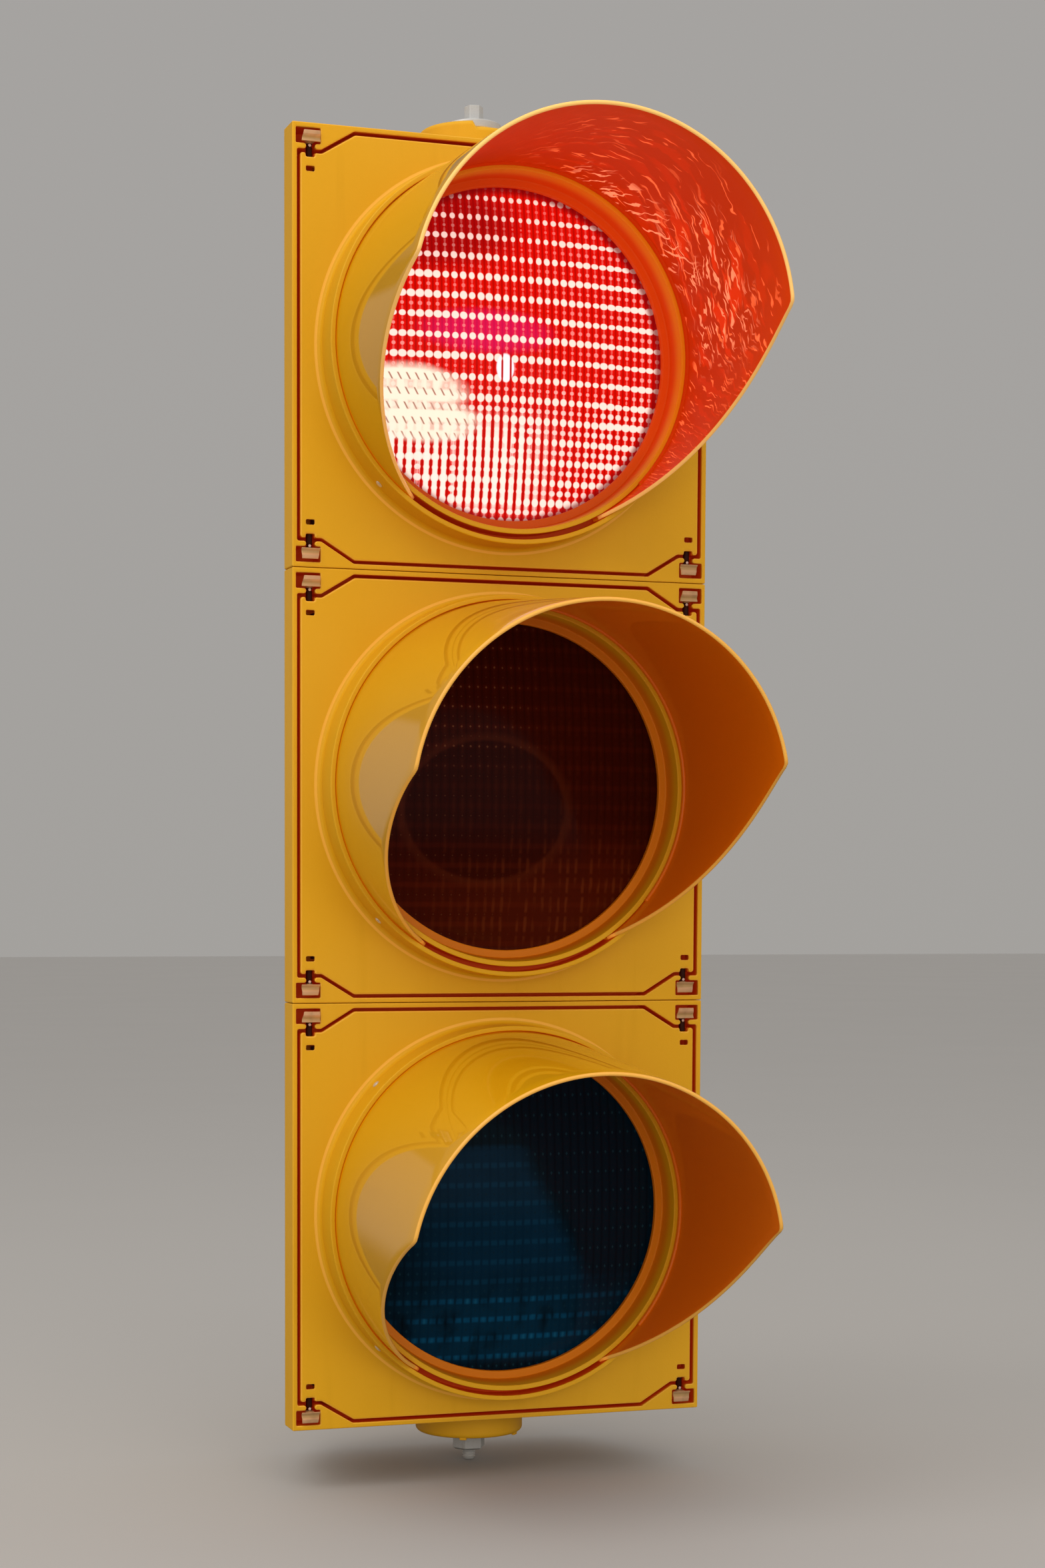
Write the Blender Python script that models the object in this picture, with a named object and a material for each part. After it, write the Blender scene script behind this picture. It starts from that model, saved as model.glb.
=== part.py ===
"""Three-section traffic signal head, 8 inch (200 mm) class, in moulded yellow polycarbonate.

Red, amber and green sections stand on one another. Each has a housing, a door that swings on two
of its four corner pins, a cutaway visor, a lens, a reflector and a lamp. +Z is up, the front faces
-Y, and the origin is the centre of the lower closure cap's face, on the mounting axis.
"""

import math

import bmesh
import bpy
from mathutils import Vector

MM = 0.001
GAP = 0.3 * MM
ROUND_STEPS = 40
SMALL_STEPS = 28
PIN_STEPS = 12

# Sections
SECTION_WIDTH = 258.8 * MM
SECTION_PITCH = 254.0 * MM
HOUSING_DEPTH = 120.0 * MM
FLANGE_DEPTH = 20.0 * MM
WALL = 3.0 * MM
FRONT_TO_AXIS = 63.0 * MM
HALF_WIDTH = SECTION_WIDTH / 2
HALF_PITCH = SECTION_PITCH / 2

# Housing front: a lip all round, and a block in each corner
LIP = 3.0 * MM
RECESS_DEPTH = 17.0 * MM
BLOCK_HEIGHT = 15.1 * MM
BLOCK_WIDTH = 17.4 * MM
BLOCK_REACH = 37.2 * MM
SEAM = 2.0 * MM
OPENING_RADIUS = 108.0 * MM
HUB_HOLE_RADIUS = 25.4 * MM
BODY_HALF_WIDTH = 117.0 * MM
BACK_HALF_WIDTH = 92.0 * MM
BODY_STRAIGHT_TO = 62.0 * MM

# Corner pins, measured from the section's side and from its top or bottom edge
PIN_INSET = 11.05 * MM
PIN_DEPTH = 4.5 * MM
PIN_RADIUS = 1.9 * MM
PIN_CLEARANCE = 0.4 * MM
PIN_START = 9.6 * MM
PIN_END = 22.6 * MM
TAB_WIDTH = 11.3 * MM
TAB_TOP = 4.8 * MM
TAB_BOTTOM = 11.2 * MM
TAB_FRONT = -1.6 * MM
TAB_THICKNESS = 1.3 * MM
STEM_WIDTH = 5.0 * MM
STEM_THICKNESS = 1.6 * MM
POCKET_SIDE = 2.3 * MM
POCKET_INNER = 17.0 * MM
POCKET_TOP = 3.1 * MM
POCKET_BOTTOM = 12.1 * MM
POCKET_DEPTH = 13.0 * MM
NOTCH_HALF_WIDTH = 2.65 * MM
NOTCH_END = 19.4 * MM
NOTCH_DEPTH = 7.0 * MM
WINDOW_TOP = 24.9 * MM
WINDOW_BOTTOM = 28.0 * MM

# Door
DOOR_FACE = 0.5 * MM
DOOR_PLATE = 4.0 * MM
DOOR_SKIRT = 2.5 * MM
DOOR_BACK = 9.5 * MM
KNUCKLE_HALF_WIDTH = 5.0 * MM
KNUCKLE_END = 24.8 * MM
BRIDGE_THICKNESS = 1.8 * MM

# Raised ring on the door, its groove for the visor, and the shelf in front of the lens
RING_RISE = 1.2 * MM
RING_FRONT = -23.0 * MM
RING_OUTER = 112.4 * MM
RING_FOOT = 116.5 * MM
GROOVE_OUTER = 109.5 * MM
GROOVE_INNER = 106.4 * MM
GROOVE_FLOOR = -10.0 * MM
THROAT_FRONT = 103.4 * MM
THROAT_BACK = 101.7 * MM
SHELF_FRONT = -8.0 * MM
SHELF_BACK = -4.7 * MM
SHELF_INNER = 97.0 * MM
CUP_INNER = 108.3 * MM
CUP_OUTER = 111.5 * MM

# Visor
VISOR_OUTER = 109.1 * MM
VISOR_WALL = 2.3 * MM
VISOR_FOOT = 10.4 * MM
VISOR_MOUTH = 23.0 * MM
VISOR_REACH = 177.0 * MM
VISOR_END_REACH = 20.0 * MM
TIP_ANGLE = math.radians(80.5)
END_ANGLE = math.radians(148.0)
TIP_ROUNDING = math.radians(5.0)
CUT_BOW = 8.5 * MM
VISOR_COLUMNS = 40

# Lens, gaskets and retainer
LENS_RADIUS = 106.4 * MM
LENS_FLANGE = 3.0 * MM
LENS_SAG = 10.0 * MM
LENS_THICKNESS = 3.6 * MM
PAD = 1.8 * MM
GASKET_DEPTH = 6.9 * MM
GASKET_WIDTH = 3.5 * MM
GASKET_INSET = 10.8 * MM
RETAINER_WIDTH = 7.0 * MM
RETAINER_THICKNESS = 2.0 * MM

# Reflector, its holder, socket and lamp
HOLDER_INNER = 101.0 * MM
HOLDER_OUTER = 117.0 * MM
HOLDER_THICKNESS = 2.5 * MM
REFLECTOR_MOUTH = 95.0 * MM
REFLECTOR_RIM = 104.0 * MM
REFLECTOR_THROAT = 22.0 * MM
REFLECTOR_APEX = 84.0 * MM
SHEET = 1.2 * MM
SOCKET_RADIUS = 20.0 * MM
SOCKET_FRONT = 80.0 * MM
SOCKET_BACK = 110.0 * MM
SOCKET_FLANGE = 30.0 * MM
BASE_RADIUS = 13.0 * MM
BULB_RADIUS = 30.0 * MM
BULB_CENTRE = 50.0 * MM

# Closure caps and their bolts, couplers between sections
CAP_RADIUS = 33.5 * MM
TOP_CAP_HEIGHT = 19.0 * MM
BOTTOM_CAP_HEIGHT = 17.5 * MM
CAP_ROUNDING = 3.0 * MM
BOLT_RADIUS = 4.0 * MM
BORE_RADIUS = 4.4 * MM
WASHER_RADIUS = 16.5 * MM
WASHER_THICKNESS = 5.0 * MM
HEAD_ACROSS_FLATS = 15.0 * MM
HEAD_HEIGHT = 11.0 * MM
NUT_ACROSS_FLATS = 18.0 * MM
NUT_HEIGHT = 11.5 * MM
STUD_BELOW_CAP = 18.5 * MM
STUD_ABOVE_WALL = 14.0 * MM
PLATE_RADIUS = 32.0 * MM
PLATE_THICKNESS = 3.0 * MM
COUPLER_BARREL = 25.0 * MM
COUPLER_BORE = 21.0 * MM
COUPLER_FLANGE = 34.0 * MM
COUPLER_REACH = 9.0 * MM

# Terminal block and wiring loom
TERMINAL_WIDTH = 70.0 * MM
TERMINAL_DEPTH = 16.0 * MM
TERMINAL_HEIGHT = 15.0 * MM
TERMINAL_PITCH = 11.0 * MM
TERMINAL_BAY = 6.0 * MM
TERMINAL_EDGE = 7.0 * MM
TERMINAL_COUNT = 6
LOOM_RADIUS = 3.5 * MM
LOOM_SIDE = 62.0 * MM
LOOM_TO_BACK = 14.0 * MM

SECTIONS = ("green", "amber", "red")
VISOR_TILT = {"green": math.radians(4.8), "amber": math.radians(4.8), "red": math.radians(2.7)}
VISOR_ROLL = {"green": math.radians(0.2), "amber": math.radians(-1.8), "red": math.radians(3.0)}
CORNERS = (
    ("top_left", -1, 1),
    ("top_right", 1, 1),
    ("bottom_left", -1, -1),
    ("bottom_right", 1, -1),
)
STACK_BOTTOM = BOTTOM_CAP_HEIGHT + GAP / 2
STACK_TOP = STACK_BOTTOM + 3 * SECTION_PITCH


# Materials

def principled(name, colour, roughness, metallic=0.0, alpha=1.0):
    material = bpy.data.materials.new(name)
    material.use_nodes = True
    shader = material.node_tree.nodes["Principled BSDF"]
    shader.inputs["Base Color"].default_value = (*colour, 1.0)
    shader.inputs["Roughness"].default_value = roughness
    shader.inputs["Metallic"].default_value = metallic
    shader.inputs["Alpha"].default_value = alpha
    material.diffuse_color = (*colour, 1.0)
    return material


def make_materials():
    return {
        "yellow": principled("yellow_polycarbonate", (0.72, 0.34, 0.03), 0.55),
        "gloss": principled("glossy_yellow_polycarbonate", (0.66, 0.29, 0.01), 0.2),
        "red": principled("red_lens", (0.7, 0.01, 0.005), 0.15),
        "amber": principled("amber_lens", (0.06, 0.01, 0.002), 0.15),
        "green": principled("green_lens", (0.005, 0.02, 0.035), 0.15),
        "rubber": principled("black_rubber", (0.02, 0.02, 0.02), 0.8),
        "steel": principled("stainless_steel", (0.5, 0.47, 0.44), 0.35, 1.0),
        "zinc": principled("zinc_plate", (0.7, 0.7, 0.68), 0.4, 1.0),
        "mirror": principled("bright_aluminium", (0.9, 0.9, 0.9), 0.1, 1.0),
        "glass": principled("lamp_glass", (0.9, 0.9, 0.88), 0.1),
        "ceramic": principled("white_ceramic", (0.8, 0.78, 0.74), 0.5),
        "phenolic": principled("black_phenolic", (0.03, 0.03, 0.03), 0.5),
        "cable": principled("cable_jacket", (0.03, 0.03, 0.035), 0.55),
    }


# Shapes

def clear_scene():
    for item in list(bpy.data.objects):
        bpy.data.objects.remove(item, do_unlink=True)


def extruded(outline, low, high, axis):
    """A prism of a flat outline: (x, z) points along Y, or (x, y) points along Z."""
    shape = bmesh.new()
    if axis == "Y":
        corners = [shape.verts.new((x, low, z)) for x, z in outline]
        path = Vector((0, high - low, 0))
    else:
        corners = [shape.verts.new((x, y, low)) for x, y in outline]
        path = Vector((0, 0, high - low))
    base = shape.faces.new(corners)
    grown = bmesh.ops.extrude_face_region(shape, geom=[base])
    moved = [item for item in grown["geom"] if isinstance(item, bmesh.types.BMVert)]
    bmesh.ops.translate(shape, verts=moved, vec=path)
    bmesh.ops.recalc_face_normals(shape, faces=shape.faces)
    return shape


def box(low, high):
    outline = ((low[0], low[2]), (high[0], low[2]), (high[0], high[2]), (low[0], high[2]))
    return extruded(outline, low[1], high[1], "Y")


def turned(profile, axis="Y", steps=ROUND_STEPS, closed=True, centre=(0, 0, 0)):
    """A solid of revolution: (radius, along) points turned about Y or Z. Open ends lie on the axis."""
    shape = bmesh.new()
    if axis == "Y":
        points = [shape.verts.new((radius, along, 0)) for radius, along in profile]
        spindle = Vector((0, 1, 0))
    else:
        points = [shape.verts.new((radius, 0, along)) for radius, along in profile]
        spindle = Vector((0, 0, 1))
    pairs = list(zip(points, points[1:]))
    if closed:
        pairs.append((points[-1], points[0]))
    edges = [shape.edges.new(pair) for pair in pairs]
    bmesh.ops.spin(
        shape,
        geom=points + edges,
        axis=spindle,
        cent=(0, 0, 0),
        angle=math.tau,
        steps=steps,
        use_merge=True,
    )
    bmesh.ops.remove_doubles(shape, verts=shape.verts, dist=1e-6)
    bmesh.ops.recalc_face_normals(shape, faces=shape.faces)
    bmesh.ops.translate(shape, verts=shape.verts, vec=centre)
    return shape


def joined(*shapes):
    """Several shapes that stand clear of one another, as one mesh."""
    whole = bmesh.new()
    for shape in shapes:
        part = bpy.data.meshes.new("part")
        shape.to_mesh(part)
        shape.free()
        whole.from_mesh(part)
        bpy.data.meshes.remove(part)
    return whole


def as_object(name, shape):
    mesh = bpy.data.meshes.new(name)
    shape.to_mesh(mesh)
    shape.free()
    item = bpy.data.objects.new(name, mesh)
    bpy.context.scene.collection.objects.link(item)
    return item


def carved(name, shape, *steps):
    """The mesh of a shape after each ("UNION" or "DIFFERENCE", other shape) step."""
    body = as_object(name, shape)
    tools = []
    for operation, other in steps:
        tool = as_object(name + "_tool", other)
        tool.hide_render = True
        tool.display_type = "WIRE"
        tools.append(tool)
        step = body.modifiers.new(operation.lower(), "BOOLEAN")
        step.operation = operation
        step.solver = "EXACT"
        step.object = tool
    bpy.context.view_layer.update()
    graph = bpy.context.evaluated_depsgraph_get()
    mesh = bpy.data.meshes.new_from_object(body.evaluated_get(graph))
    mesh.name = name
    for item in [body] + tools:
        bpy.data.objects.remove(item, do_unlink=True)
    return mesh


def plain(name, shape):
    mesh = bpy.data.meshes.new(name)
    shape.to_mesh(mesh)
    shape.free()
    return mesh


def smoothed(mesh, angle=math.radians(35)):
    """Smooth shading with an edge kept sharp wherever the faces turn by more than the angle."""
    shape = bmesh.new()
    shape.from_mesh(mesh)
    for face in shape.faces:
        face.smooth = True
    for edge in shape.edges:
        edge.smooth = edge.calc_face_angle(math.pi) < angle
    shape.to_mesh(mesh)
    shape.free()
    return mesh


def empty(name, location, parent=None):
    item = bpy.data.objects.new(name, None)
    item.location = location
    item.parent = parent
    bpy.context.scene.collection.objects.link(item)
    return item


def place(name, mesh, material, parent=None, location=(0, 0, 0), rotation=(0, 0, 0)):
    copy = mesh.copy()
    copy.name = name
    copy.materials.clear()
    copy.materials.append(material)
    item = bpy.data.objects.new(name, copy)
    item.parent = parent
    item.location = location
    item.rotation_euler = rotation
    bpy.context.scene.collection.objects.link(item)
    return item


def four_corners(points):
    """An outline's top right corner, given clockwise from the right side, mirrored to all four."""
    right_top = list(points)
    left_top = [(-x, z) for x, z in reversed(right_top)]
    left_bottom = [(-x, -z) for x, z in right_top]
    right_bottom = [(x, -z) for x, z in reversed(right_top)]
    return right_top + left_top + left_bottom + right_bottom


def cornered(inset):
    """The opening inside the lip and corner blocks, made smaller all round by the inset."""
    slope = math.hypot(BLOCK_REACH - BLOCK_WIDTH, BLOCK_HEIGHT - LIP)
    lean = (BLOCK_REACH - BLOCK_WIDTH) / slope
    shift = inset * (1 - lean) / ((BLOCK_HEIGHT - LIP) / slope)
    side = HALF_WIDTH - LIP - inset
    top = HALF_PITCH - LIP - inset
    return four_corners(
        (
            (side, HALF_PITCH - BLOCK_HEIGHT - inset),
            (HALF_WIDTH - BLOCK_WIDTH - shift, HALF_PITCH - BLOCK_HEIGHT - inset),
            (HALF_WIDTH - BLOCK_REACH - shift, top),
        )
    )


def corner_box(side, up, inner, outer, front, back, near, far):
    """A box in one corner: inner and outer from the section's side, near and far from its edge."""
    xs = sorted((side * (HALF_WIDTH - inner), side * (HALF_WIDTH - outer)))
    zs = sorted((up * (HALF_PITCH - near), up * (HALF_PITCH - far)))
    return box((xs[0], front, zs[0]), (xs[1], back, zs[1]))


def hexagon(across_flats):
    radius = across_flats / math.sqrt(3)
    return [(radius * math.cos(i * math.pi / 3), radius * math.sin(i * math.pi / 3)) for i in range(6)]


# One section's pieces. Their frame is the section's centre, on its front plane, with +Y to the back

def housing_mesh():
    half = HALF_PITCH - GAP / 2
    body = extruded(
        (
            (-HALF_WIDTH, 0),
            (HALF_WIDTH, 0),
            (HALF_WIDTH, FLANGE_DEPTH),
            (BODY_HALF_WIDTH, FLANGE_DEPTH + WALL),
            (BODY_HALF_WIDTH, BODY_STRAIGHT_TO),
            (BACK_HALF_WIDTH, HOUSING_DEPTH),
            (-BACK_HALF_WIDTH, HOUSING_DEPTH),
            (-BODY_HALF_WIDTH, BODY_STRAIGHT_TO),
            (-BODY_HALF_WIDTH, FLANGE_DEPTH + WALL),
            (-HALF_WIDTH, FLANGE_DEPTH),
        ),
        -half,
        half,
        "Z",
    )
    inner = BODY_HALF_WIDTH - WALL
    cavity = extruded(
        (
            (-inner, FLANGE_DEPTH),
            (inner, FLANGE_DEPTH),
            (inner, BODY_STRAIGHT_TO),
            (BACK_HALF_WIDTH - WALL, HOUSING_DEPTH - WALL),
            (WALL - BACK_HALF_WIDTH, HOUSING_DEPTH - WALL),
            (-inner, BODY_STRAIGHT_TO),
        ),
        WALL - half,
        half - WALL,
        "Z",
    )
    recess = extruded(cornered(0), -WALL, RECESS_DEPTH, "Y")
    opening = turned(
        ((0, RECESS_DEPTH - WALL), (OPENING_RADIUS, RECESS_DEPTH - WALL),
         (OPENING_RADIUS, FLANGE_DEPTH + WALL), (0, FLANGE_DEPTH + WALL)),
        closed=False,
        centre=(0, 0, RING_RISE),
    )
    hub_bore = turned(
        ((0, -HALF_PITCH), (HUB_HOLE_RADIUS, -HALF_PITCH), (HUB_HOLE_RADIUS, HALF_PITCH), (0, HALF_PITCH)),
        axis="Z",
        steps=SMALL_STEPS,
        closed=False,
        centre=(0, FRONT_TO_AXIS, 0),
    )
    pockets = joined(*(
        corner_box(side, up, POCKET_SIDE, POCKET_INNER, -WALL, POCKET_DEPTH, POCKET_TOP, POCKET_BOTTOM)
        for _, side, up in CORNERS
    ))
    slots = joined(*(
        corner_box(side, up, PIN_INSET - NOTCH_HALF_WIDTH, PIN_INSET + NOTCH_HALF_WIDTH,
                   -WALL, NOTCH_DEPTH, POCKET_TOP + WALL, BLOCK_HEIGHT + WALL)
        for _, side, up in CORNERS
    ))
    return carved(
        "housing", body,
        ("DIFFERENCE", cavity),
        ("DIFFERENCE", recess),
        ("DIFFERENCE", opening),
        ("DIFFERENCE", hub_bore),
        ("DIFFERENCE", pockets),
        ("DIFFERENCE", slots),
    )


def ring_profile():
    """The raised ring from the lens shelf out to the door's face, then back behind it."""
    rounding = 0.8 * MM
    return (
        (SHELF_INNER, SHELF_FRONT),
        (THROAT_BACK, SHELF_FRONT),
        (THROAT_FRONT, RING_FRONT + rounding),
        (THROAT_FRONT + rounding, RING_FRONT),
        (GROOVE_INNER, RING_FRONT),
        (GROOVE_INNER, GROOVE_FLOOR),
        (GROOVE_OUTER, GROOVE_FLOOR),
        (GROOVE_OUTER, RING_FRONT),
        (RING_OUTER - rounding, RING_FRONT),
        (RING_OUTER, RING_FRONT + rounding),
        (RING_OUTER, DOOR_FACE - 3 * MM),
        (RING_OUTER + 1.2 * MM, DOOR_FACE - 0.9 * MM),
        (RING_FOOT, DOOR_FACE + 0.4 * MM),
        (RING_FOOT, DOOR_FACE + DOOR_PLATE / 2),
        (CUP_OUTER, DOOR_FACE + DOOR_PLATE / 2),
        (CUP_OUTER, DOOR_BACK),
        (CUP_INNER, DOOR_BACK),
        (CUP_INNER, SHELF_BACK),
        (SHELF_INNER, SHELF_BACK),
    )


def door_mesh():
    body = extruded(cornered(SEAM), DOOR_FACE, DOOR_BACK, "Y")
    hollow = extruded(cornered(SEAM + DOOR_SKIRT), DOOR_FACE + DOOR_PLATE, DOOR_BACK + WALL, "Y")
    centre_hole = turned(
        ((0, -WALL), (CUP_INNER + MM, -WALL), (CUP_INNER + MM, DOOR_BACK + WALL), (0, DOOR_BACK + WALL)),
        closed=False,
        centre=(0, 0, RING_RISE),
    )
    ring = turned(ring_profile(), centre=(0, 0, RING_RISE))
    knuckles = joined(*(
        corner_box(side, up, PIN_INSET - KNUCKLE_HALF_WIDTH, PIN_INSET + KNUCKLE_HALF_WIDTH,
                   DOOR_FACE + MM, DOOR_BACK - GAP, BLOCK_HEIGHT + SEAM + GAP, KNUCKLE_END)
        for _, side, up in CORNERS
    ))
    bore = PIN_RADIUS + PIN_CLEARANCE
    channels = joined(*(
        corner_box(side, up, PIN_INSET - bore, PIN_INSET + bore,
                   DOOR_FACE + BRIDGE_THICKNESS, DOOR_BACK + WALL, BLOCK_HEIGHT, WINDOW_TOP)
        for _, side, up in CORNERS
    ))
    notches = joined(*(
        corner_box(side, up, PIN_INSET - NOTCH_HALF_WIDTH, PIN_INSET + NOTCH_HALF_WIDTH,
                   -WALL, DOOR_BACK + WALL, BLOCK_HEIGHT, NOTCH_END)
        for _, side, up in CORNERS
    ))
    windows = joined(*(
        corner_box(side, up, PIN_INSET - NOTCH_HALF_WIDTH, PIN_INSET + NOTCH_HALF_WIDTH,
                   -WALL, DOOR_BACK + WALL, WINDOW_TOP, WINDOW_BOTTOM)
        for _, side, up in CORNERS
    ))
    return smoothed(carved(
        "door", body,
        ("DIFFERENCE", hollow),
        ("DIFFERENCE", centre_hole),
        ("UNION", ring),
        ("UNION", knuckles),
        ("DIFFERENCE", channels),
        ("DIFFERENCE", notches),
        ("DIFFERENCE", windows),
    ))


def rim_reach(angle, tilt):
    """How far the visor stands in front of the door's plane at an angle from its crown."""
    turn = abs(angle)
    crown = VISOR_REACH * math.cos(tilt) + VISOR_OUTER * math.sin(tilt) * math.cos(turn)
    if turn <= TIP_ANGLE - TIP_ROUNDING:
        return crown
    along = max(0.0, (turn - TIP_ANGLE) / (END_ANGLE - TIP_ANGLE))
    straight = crown + (VISOR_END_REACH - crown) * along
    bowed = straight - CUT_BOW * math.sin(math.pi * along ** 0.6)
    blend = min(1.0, (turn - TIP_ANGLE + TIP_ROUNDING) / (2 * TIP_ROUNDING))
    return crown + (bowed - crown) * blend ** 2 if turn < TIP_ANGLE + TIP_ROUNDING else bowed


def visor_object(name, tilt, material):
    """A tube cut away below, sheared downwards by its tilt in front of the ring."""
    shape = bmesh.new()
    steps = (0.0, 0.5, 1.0)
    columns = []
    for i in range(VISOR_COLUMNS + 1):
        angle = -END_ANGLE + 2 * END_ANGLE * i / VISOR_COLUMNS
        end = rim_reach(angle, tilt)
        mouth = min(VISOR_MOUTH, (VISOR_FOOT + end) / 2)
        column = []
        for reach in [VISOR_FOOT] + [mouth + (end - mouth) * step for step in steps]:
            drop = max(0.0, reach - VISOR_MOUTH) * math.tan(tilt)
            column.append(shape.verts.new((
                VISOR_OUTER * math.sin(angle),
                -reach,
                VISOR_OUTER * math.cos(angle) - drop,
            )))
        columns.append(column)
    for first, second in zip(columns, columns[1:]):
        for i in range(len(steps)):
            shape.faces.new((first[i], first[i + 1], second[i + 1], second[i]))
    bmesh.ops.recalc_face_normals(shape, faces=shape.faces)
    crown = max(shape.faces, key=lambda face: face.calc_center_median().z)
    if crown.normal.z < 0:
        bmesh.ops.reverse_faces(shape, faces=shape.faces)
    for face in shape.faces:
        face.smooth = True
    item = as_object(name, shape)
    item.data.materials.append(material)
    wall = item.modifiers.new("wall", "SOLIDIFY")
    wall.thickness = VISOR_WALL
    wall.offset = -1
    return item


def dome(radius, edge, sag, count=3):
    """Points of a shallow dome from its edge radius to its centre, standing forward by the sag."""
    sphere = (radius ** 2 + sag ** 2) / (2 * sag)
    return [
        (radius * (1 - i / count),
         edge - sag + sphere - math.sqrt(sphere ** 2 - (radius * (1 - i / count)) ** 2))
        for i in range(count + 1)
    ]


def lens_mesh():
    front = SHELF_BACK + GAP + PAD + GAP
    back = front + LENS_FLANGE
    clear_radius = SHELF_INNER - 2 * MM
    outer = dome(clear_radius, front, LENS_SAG)
    inner = dome(clear_radius - LENS_THICKNESS, back, LENS_SAG + LENS_FLANGE - LENS_THICKNESS)
    profile = list(reversed(outer)) + [(LENS_RADIUS, front), (LENS_RADIUS, back)] + inner
    return smoothed(plain("lens", turned(profile, closed=False)))


def lens_gasket_mesh():
    front = SHELF_BACK + GAP
    wall = 1.3 * MM
    outer = CUP_INNER - GAP
    return smoothed(plain("lens_gasket", turned((
        (SHELF_INNER + 2 * MM, front),
        (outer, front),
        (outer, front + PAD + LENS_FLANGE + GAP),
        (outer - wall, front + PAD + LENS_FLANGE + GAP),
        (outer - wall, front + PAD),
        (SHELF_INNER + 2 * MM, front + PAD),
    ))))


def lens_retainer_mesh():
    front = SHELF_BACK + PAD + LENS_FLANGE + 4 * GAP
    return smoothed(plain("lens_retainer", turned((
        (LENS_RADIUS - RETAINER_WIDTH, front),
        (CUP_INNER - GAP, front),
        (CUP_INNER - GAP, front + RETAINER_THICKNESS),
        (LENS_RADIUS - RETAINER_WIDTH, front + RETAINER_THICKNESS),
    ))))


def door_gasket_mesh():
    front = DOOR_FACE + DOOR_PLATE + GAP
    outer = extruded(cornered(GASKET_INSET), front, front + GASKET_DEPTH, "Y")
    inner = extruded(cornered(GASKET_INSET + GASKET_WIDTH), front - MM, front + GASKET_DEPTH + MM, "Y")
    cup = turned(
        ((0, front - MM), (CUP_OUTER + GAP, front - MM), (CUP_OUTER + GAP, front + GASKET_DEPTH + MM),
         (0, front + GASKET_DEPTH + MM)),
        closed=False,
        centre=(0, 0, RING_RISE),
    )
    return carved("door_gasket", outer, ("DIFFERENCE", inner), ("DIFFERENCE", cup))


def reflector_holder_mesh():
    back = RECESS_DEPTH - GAP
    return smoothed(plain("reflector_holder", turned((
        (HOLDER_INNER, back - HOLDER_THICKNESS),
        (HOLDER_OUTER, back - HOLDER_THICKNESS),
        (HOLDER_OUTER, back),
        (HOLDER_INNER, back),
    ))))


def reflector_mesh():
    front = RECESS_DEPTH
    depth = REFLECTOR_APEX - front - SHEET
    count = 5
    bowl = []
    for i in range(count + 1):
        radius = REFLECTOR_MOUTH + (REFLECTOR_THROAT - REFLECTOR_MOUTH) * i / count
        share = (radius ** 2 - REFLECTOR_THROAT ** 2) / (REFLECTOR_MOUTH ** 2 - REFLECTOR_THROAT ** 2)
        bowl.append((radius, front + SHEET + depth * (1 - share)))
    outside = [(radius + SHEET, along) for radius, along in bowl]
    inside = [(radius, along - SHEET) for radius, along in reversed(bowl)]
    rim = [(REFLECTOR_RIM, front), (REFLECTOR_RIM, front + SHEET)]
    return smoothed(plain("reflector", turned(rim + outside + inside, steps=SMALL_STEPS)))


def lamp_socket_mesh():
    bore = BASE_RADIUS + 0.6 * MM
    flange_front = REFLECTOR_APEX + 1.5 * MM
    return smoothed(plain("lamp_socket", turned((
        (bore, SOCKET_FRONT),
        (SOCKET_RADIUS, SOCKET_FRONT),
        (SOCKET_RADIUS, flange_front),
        (SOCKET_FLANGE, flange_front),
        (SOCKET_FLANGE, flange_front + 2.5 * MM),
        (SOCKET_RADIUS, flange_front + 2.5 * MM),
        (SOCKET_RADIUS, SOCKET_BACK),
        (0, SOCKET_BACK),
        (0, SOCKET_BACK - 3 * MM),
        (bore, SOCKET_BACK - 3 * MM),
    ), steps=SMALL_STEPS)))


def lamp_mesh():
    neck = SOCKET_FRONT - 2 * MM
    count = 6
    bulb = [
        (BULB_RADIUS * math.sin(i * math.radians(140) / count),
         BULB_CENTRE - BULB_RADIUS * math.cos(i * math.radians(140) / count))
        for i in range(count + 1)
    ]
    return smoothed(plain("lamp", turned(
        bulb + [(BASE_RADIUS, neck), (BASE_RADIUS, SOCKET_BACK - 6 * MM), (0, SOCKET_BACK - 4 * MM)],
        closed=False,
        steps=SMALL_STEPS,
    )))


def latch_mesh():
    """A finger tab, its stem and its pin. The frame is the pin's axis at the section's edge."""
    tab = box(
        (-TAB_WIDTH / 2, TAB_FRONT - PIN_DEPTH, -TAB_BOTTOM),
        (TAB_WIDTH / 2, TAB_FRONT + TAB_THICKNESS - PIN_DEPTH, -TAB_TOP),
    )
    stem = box(
        (-STEM_WIDTH / 2, TAB_FRONT + TAB_THICKNESS / 2 - PIN_DEPTH, -TAB_BOTTOM),
        (STEM_WIDTH / 2, PIN_RADIUS / 2, STEM_THICKNESS - TAB_BOTTOM),
    )
    pin = turned(
        ((0, -PIN_END), (PIN_RADIUS * 0.7, -PIN_END), (PIN_RADIUS, 0.8 * MM - PIN_END),
         (PIN_RADIUS, -PIN_START), (0, -PIN_START)),
        axis="Z",
        steps=PIN_STEPS,
        closed=False,
    )
    return smoothed(carved("latch", tab, ("UNION", stem), ("UNION", pin)))


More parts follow.
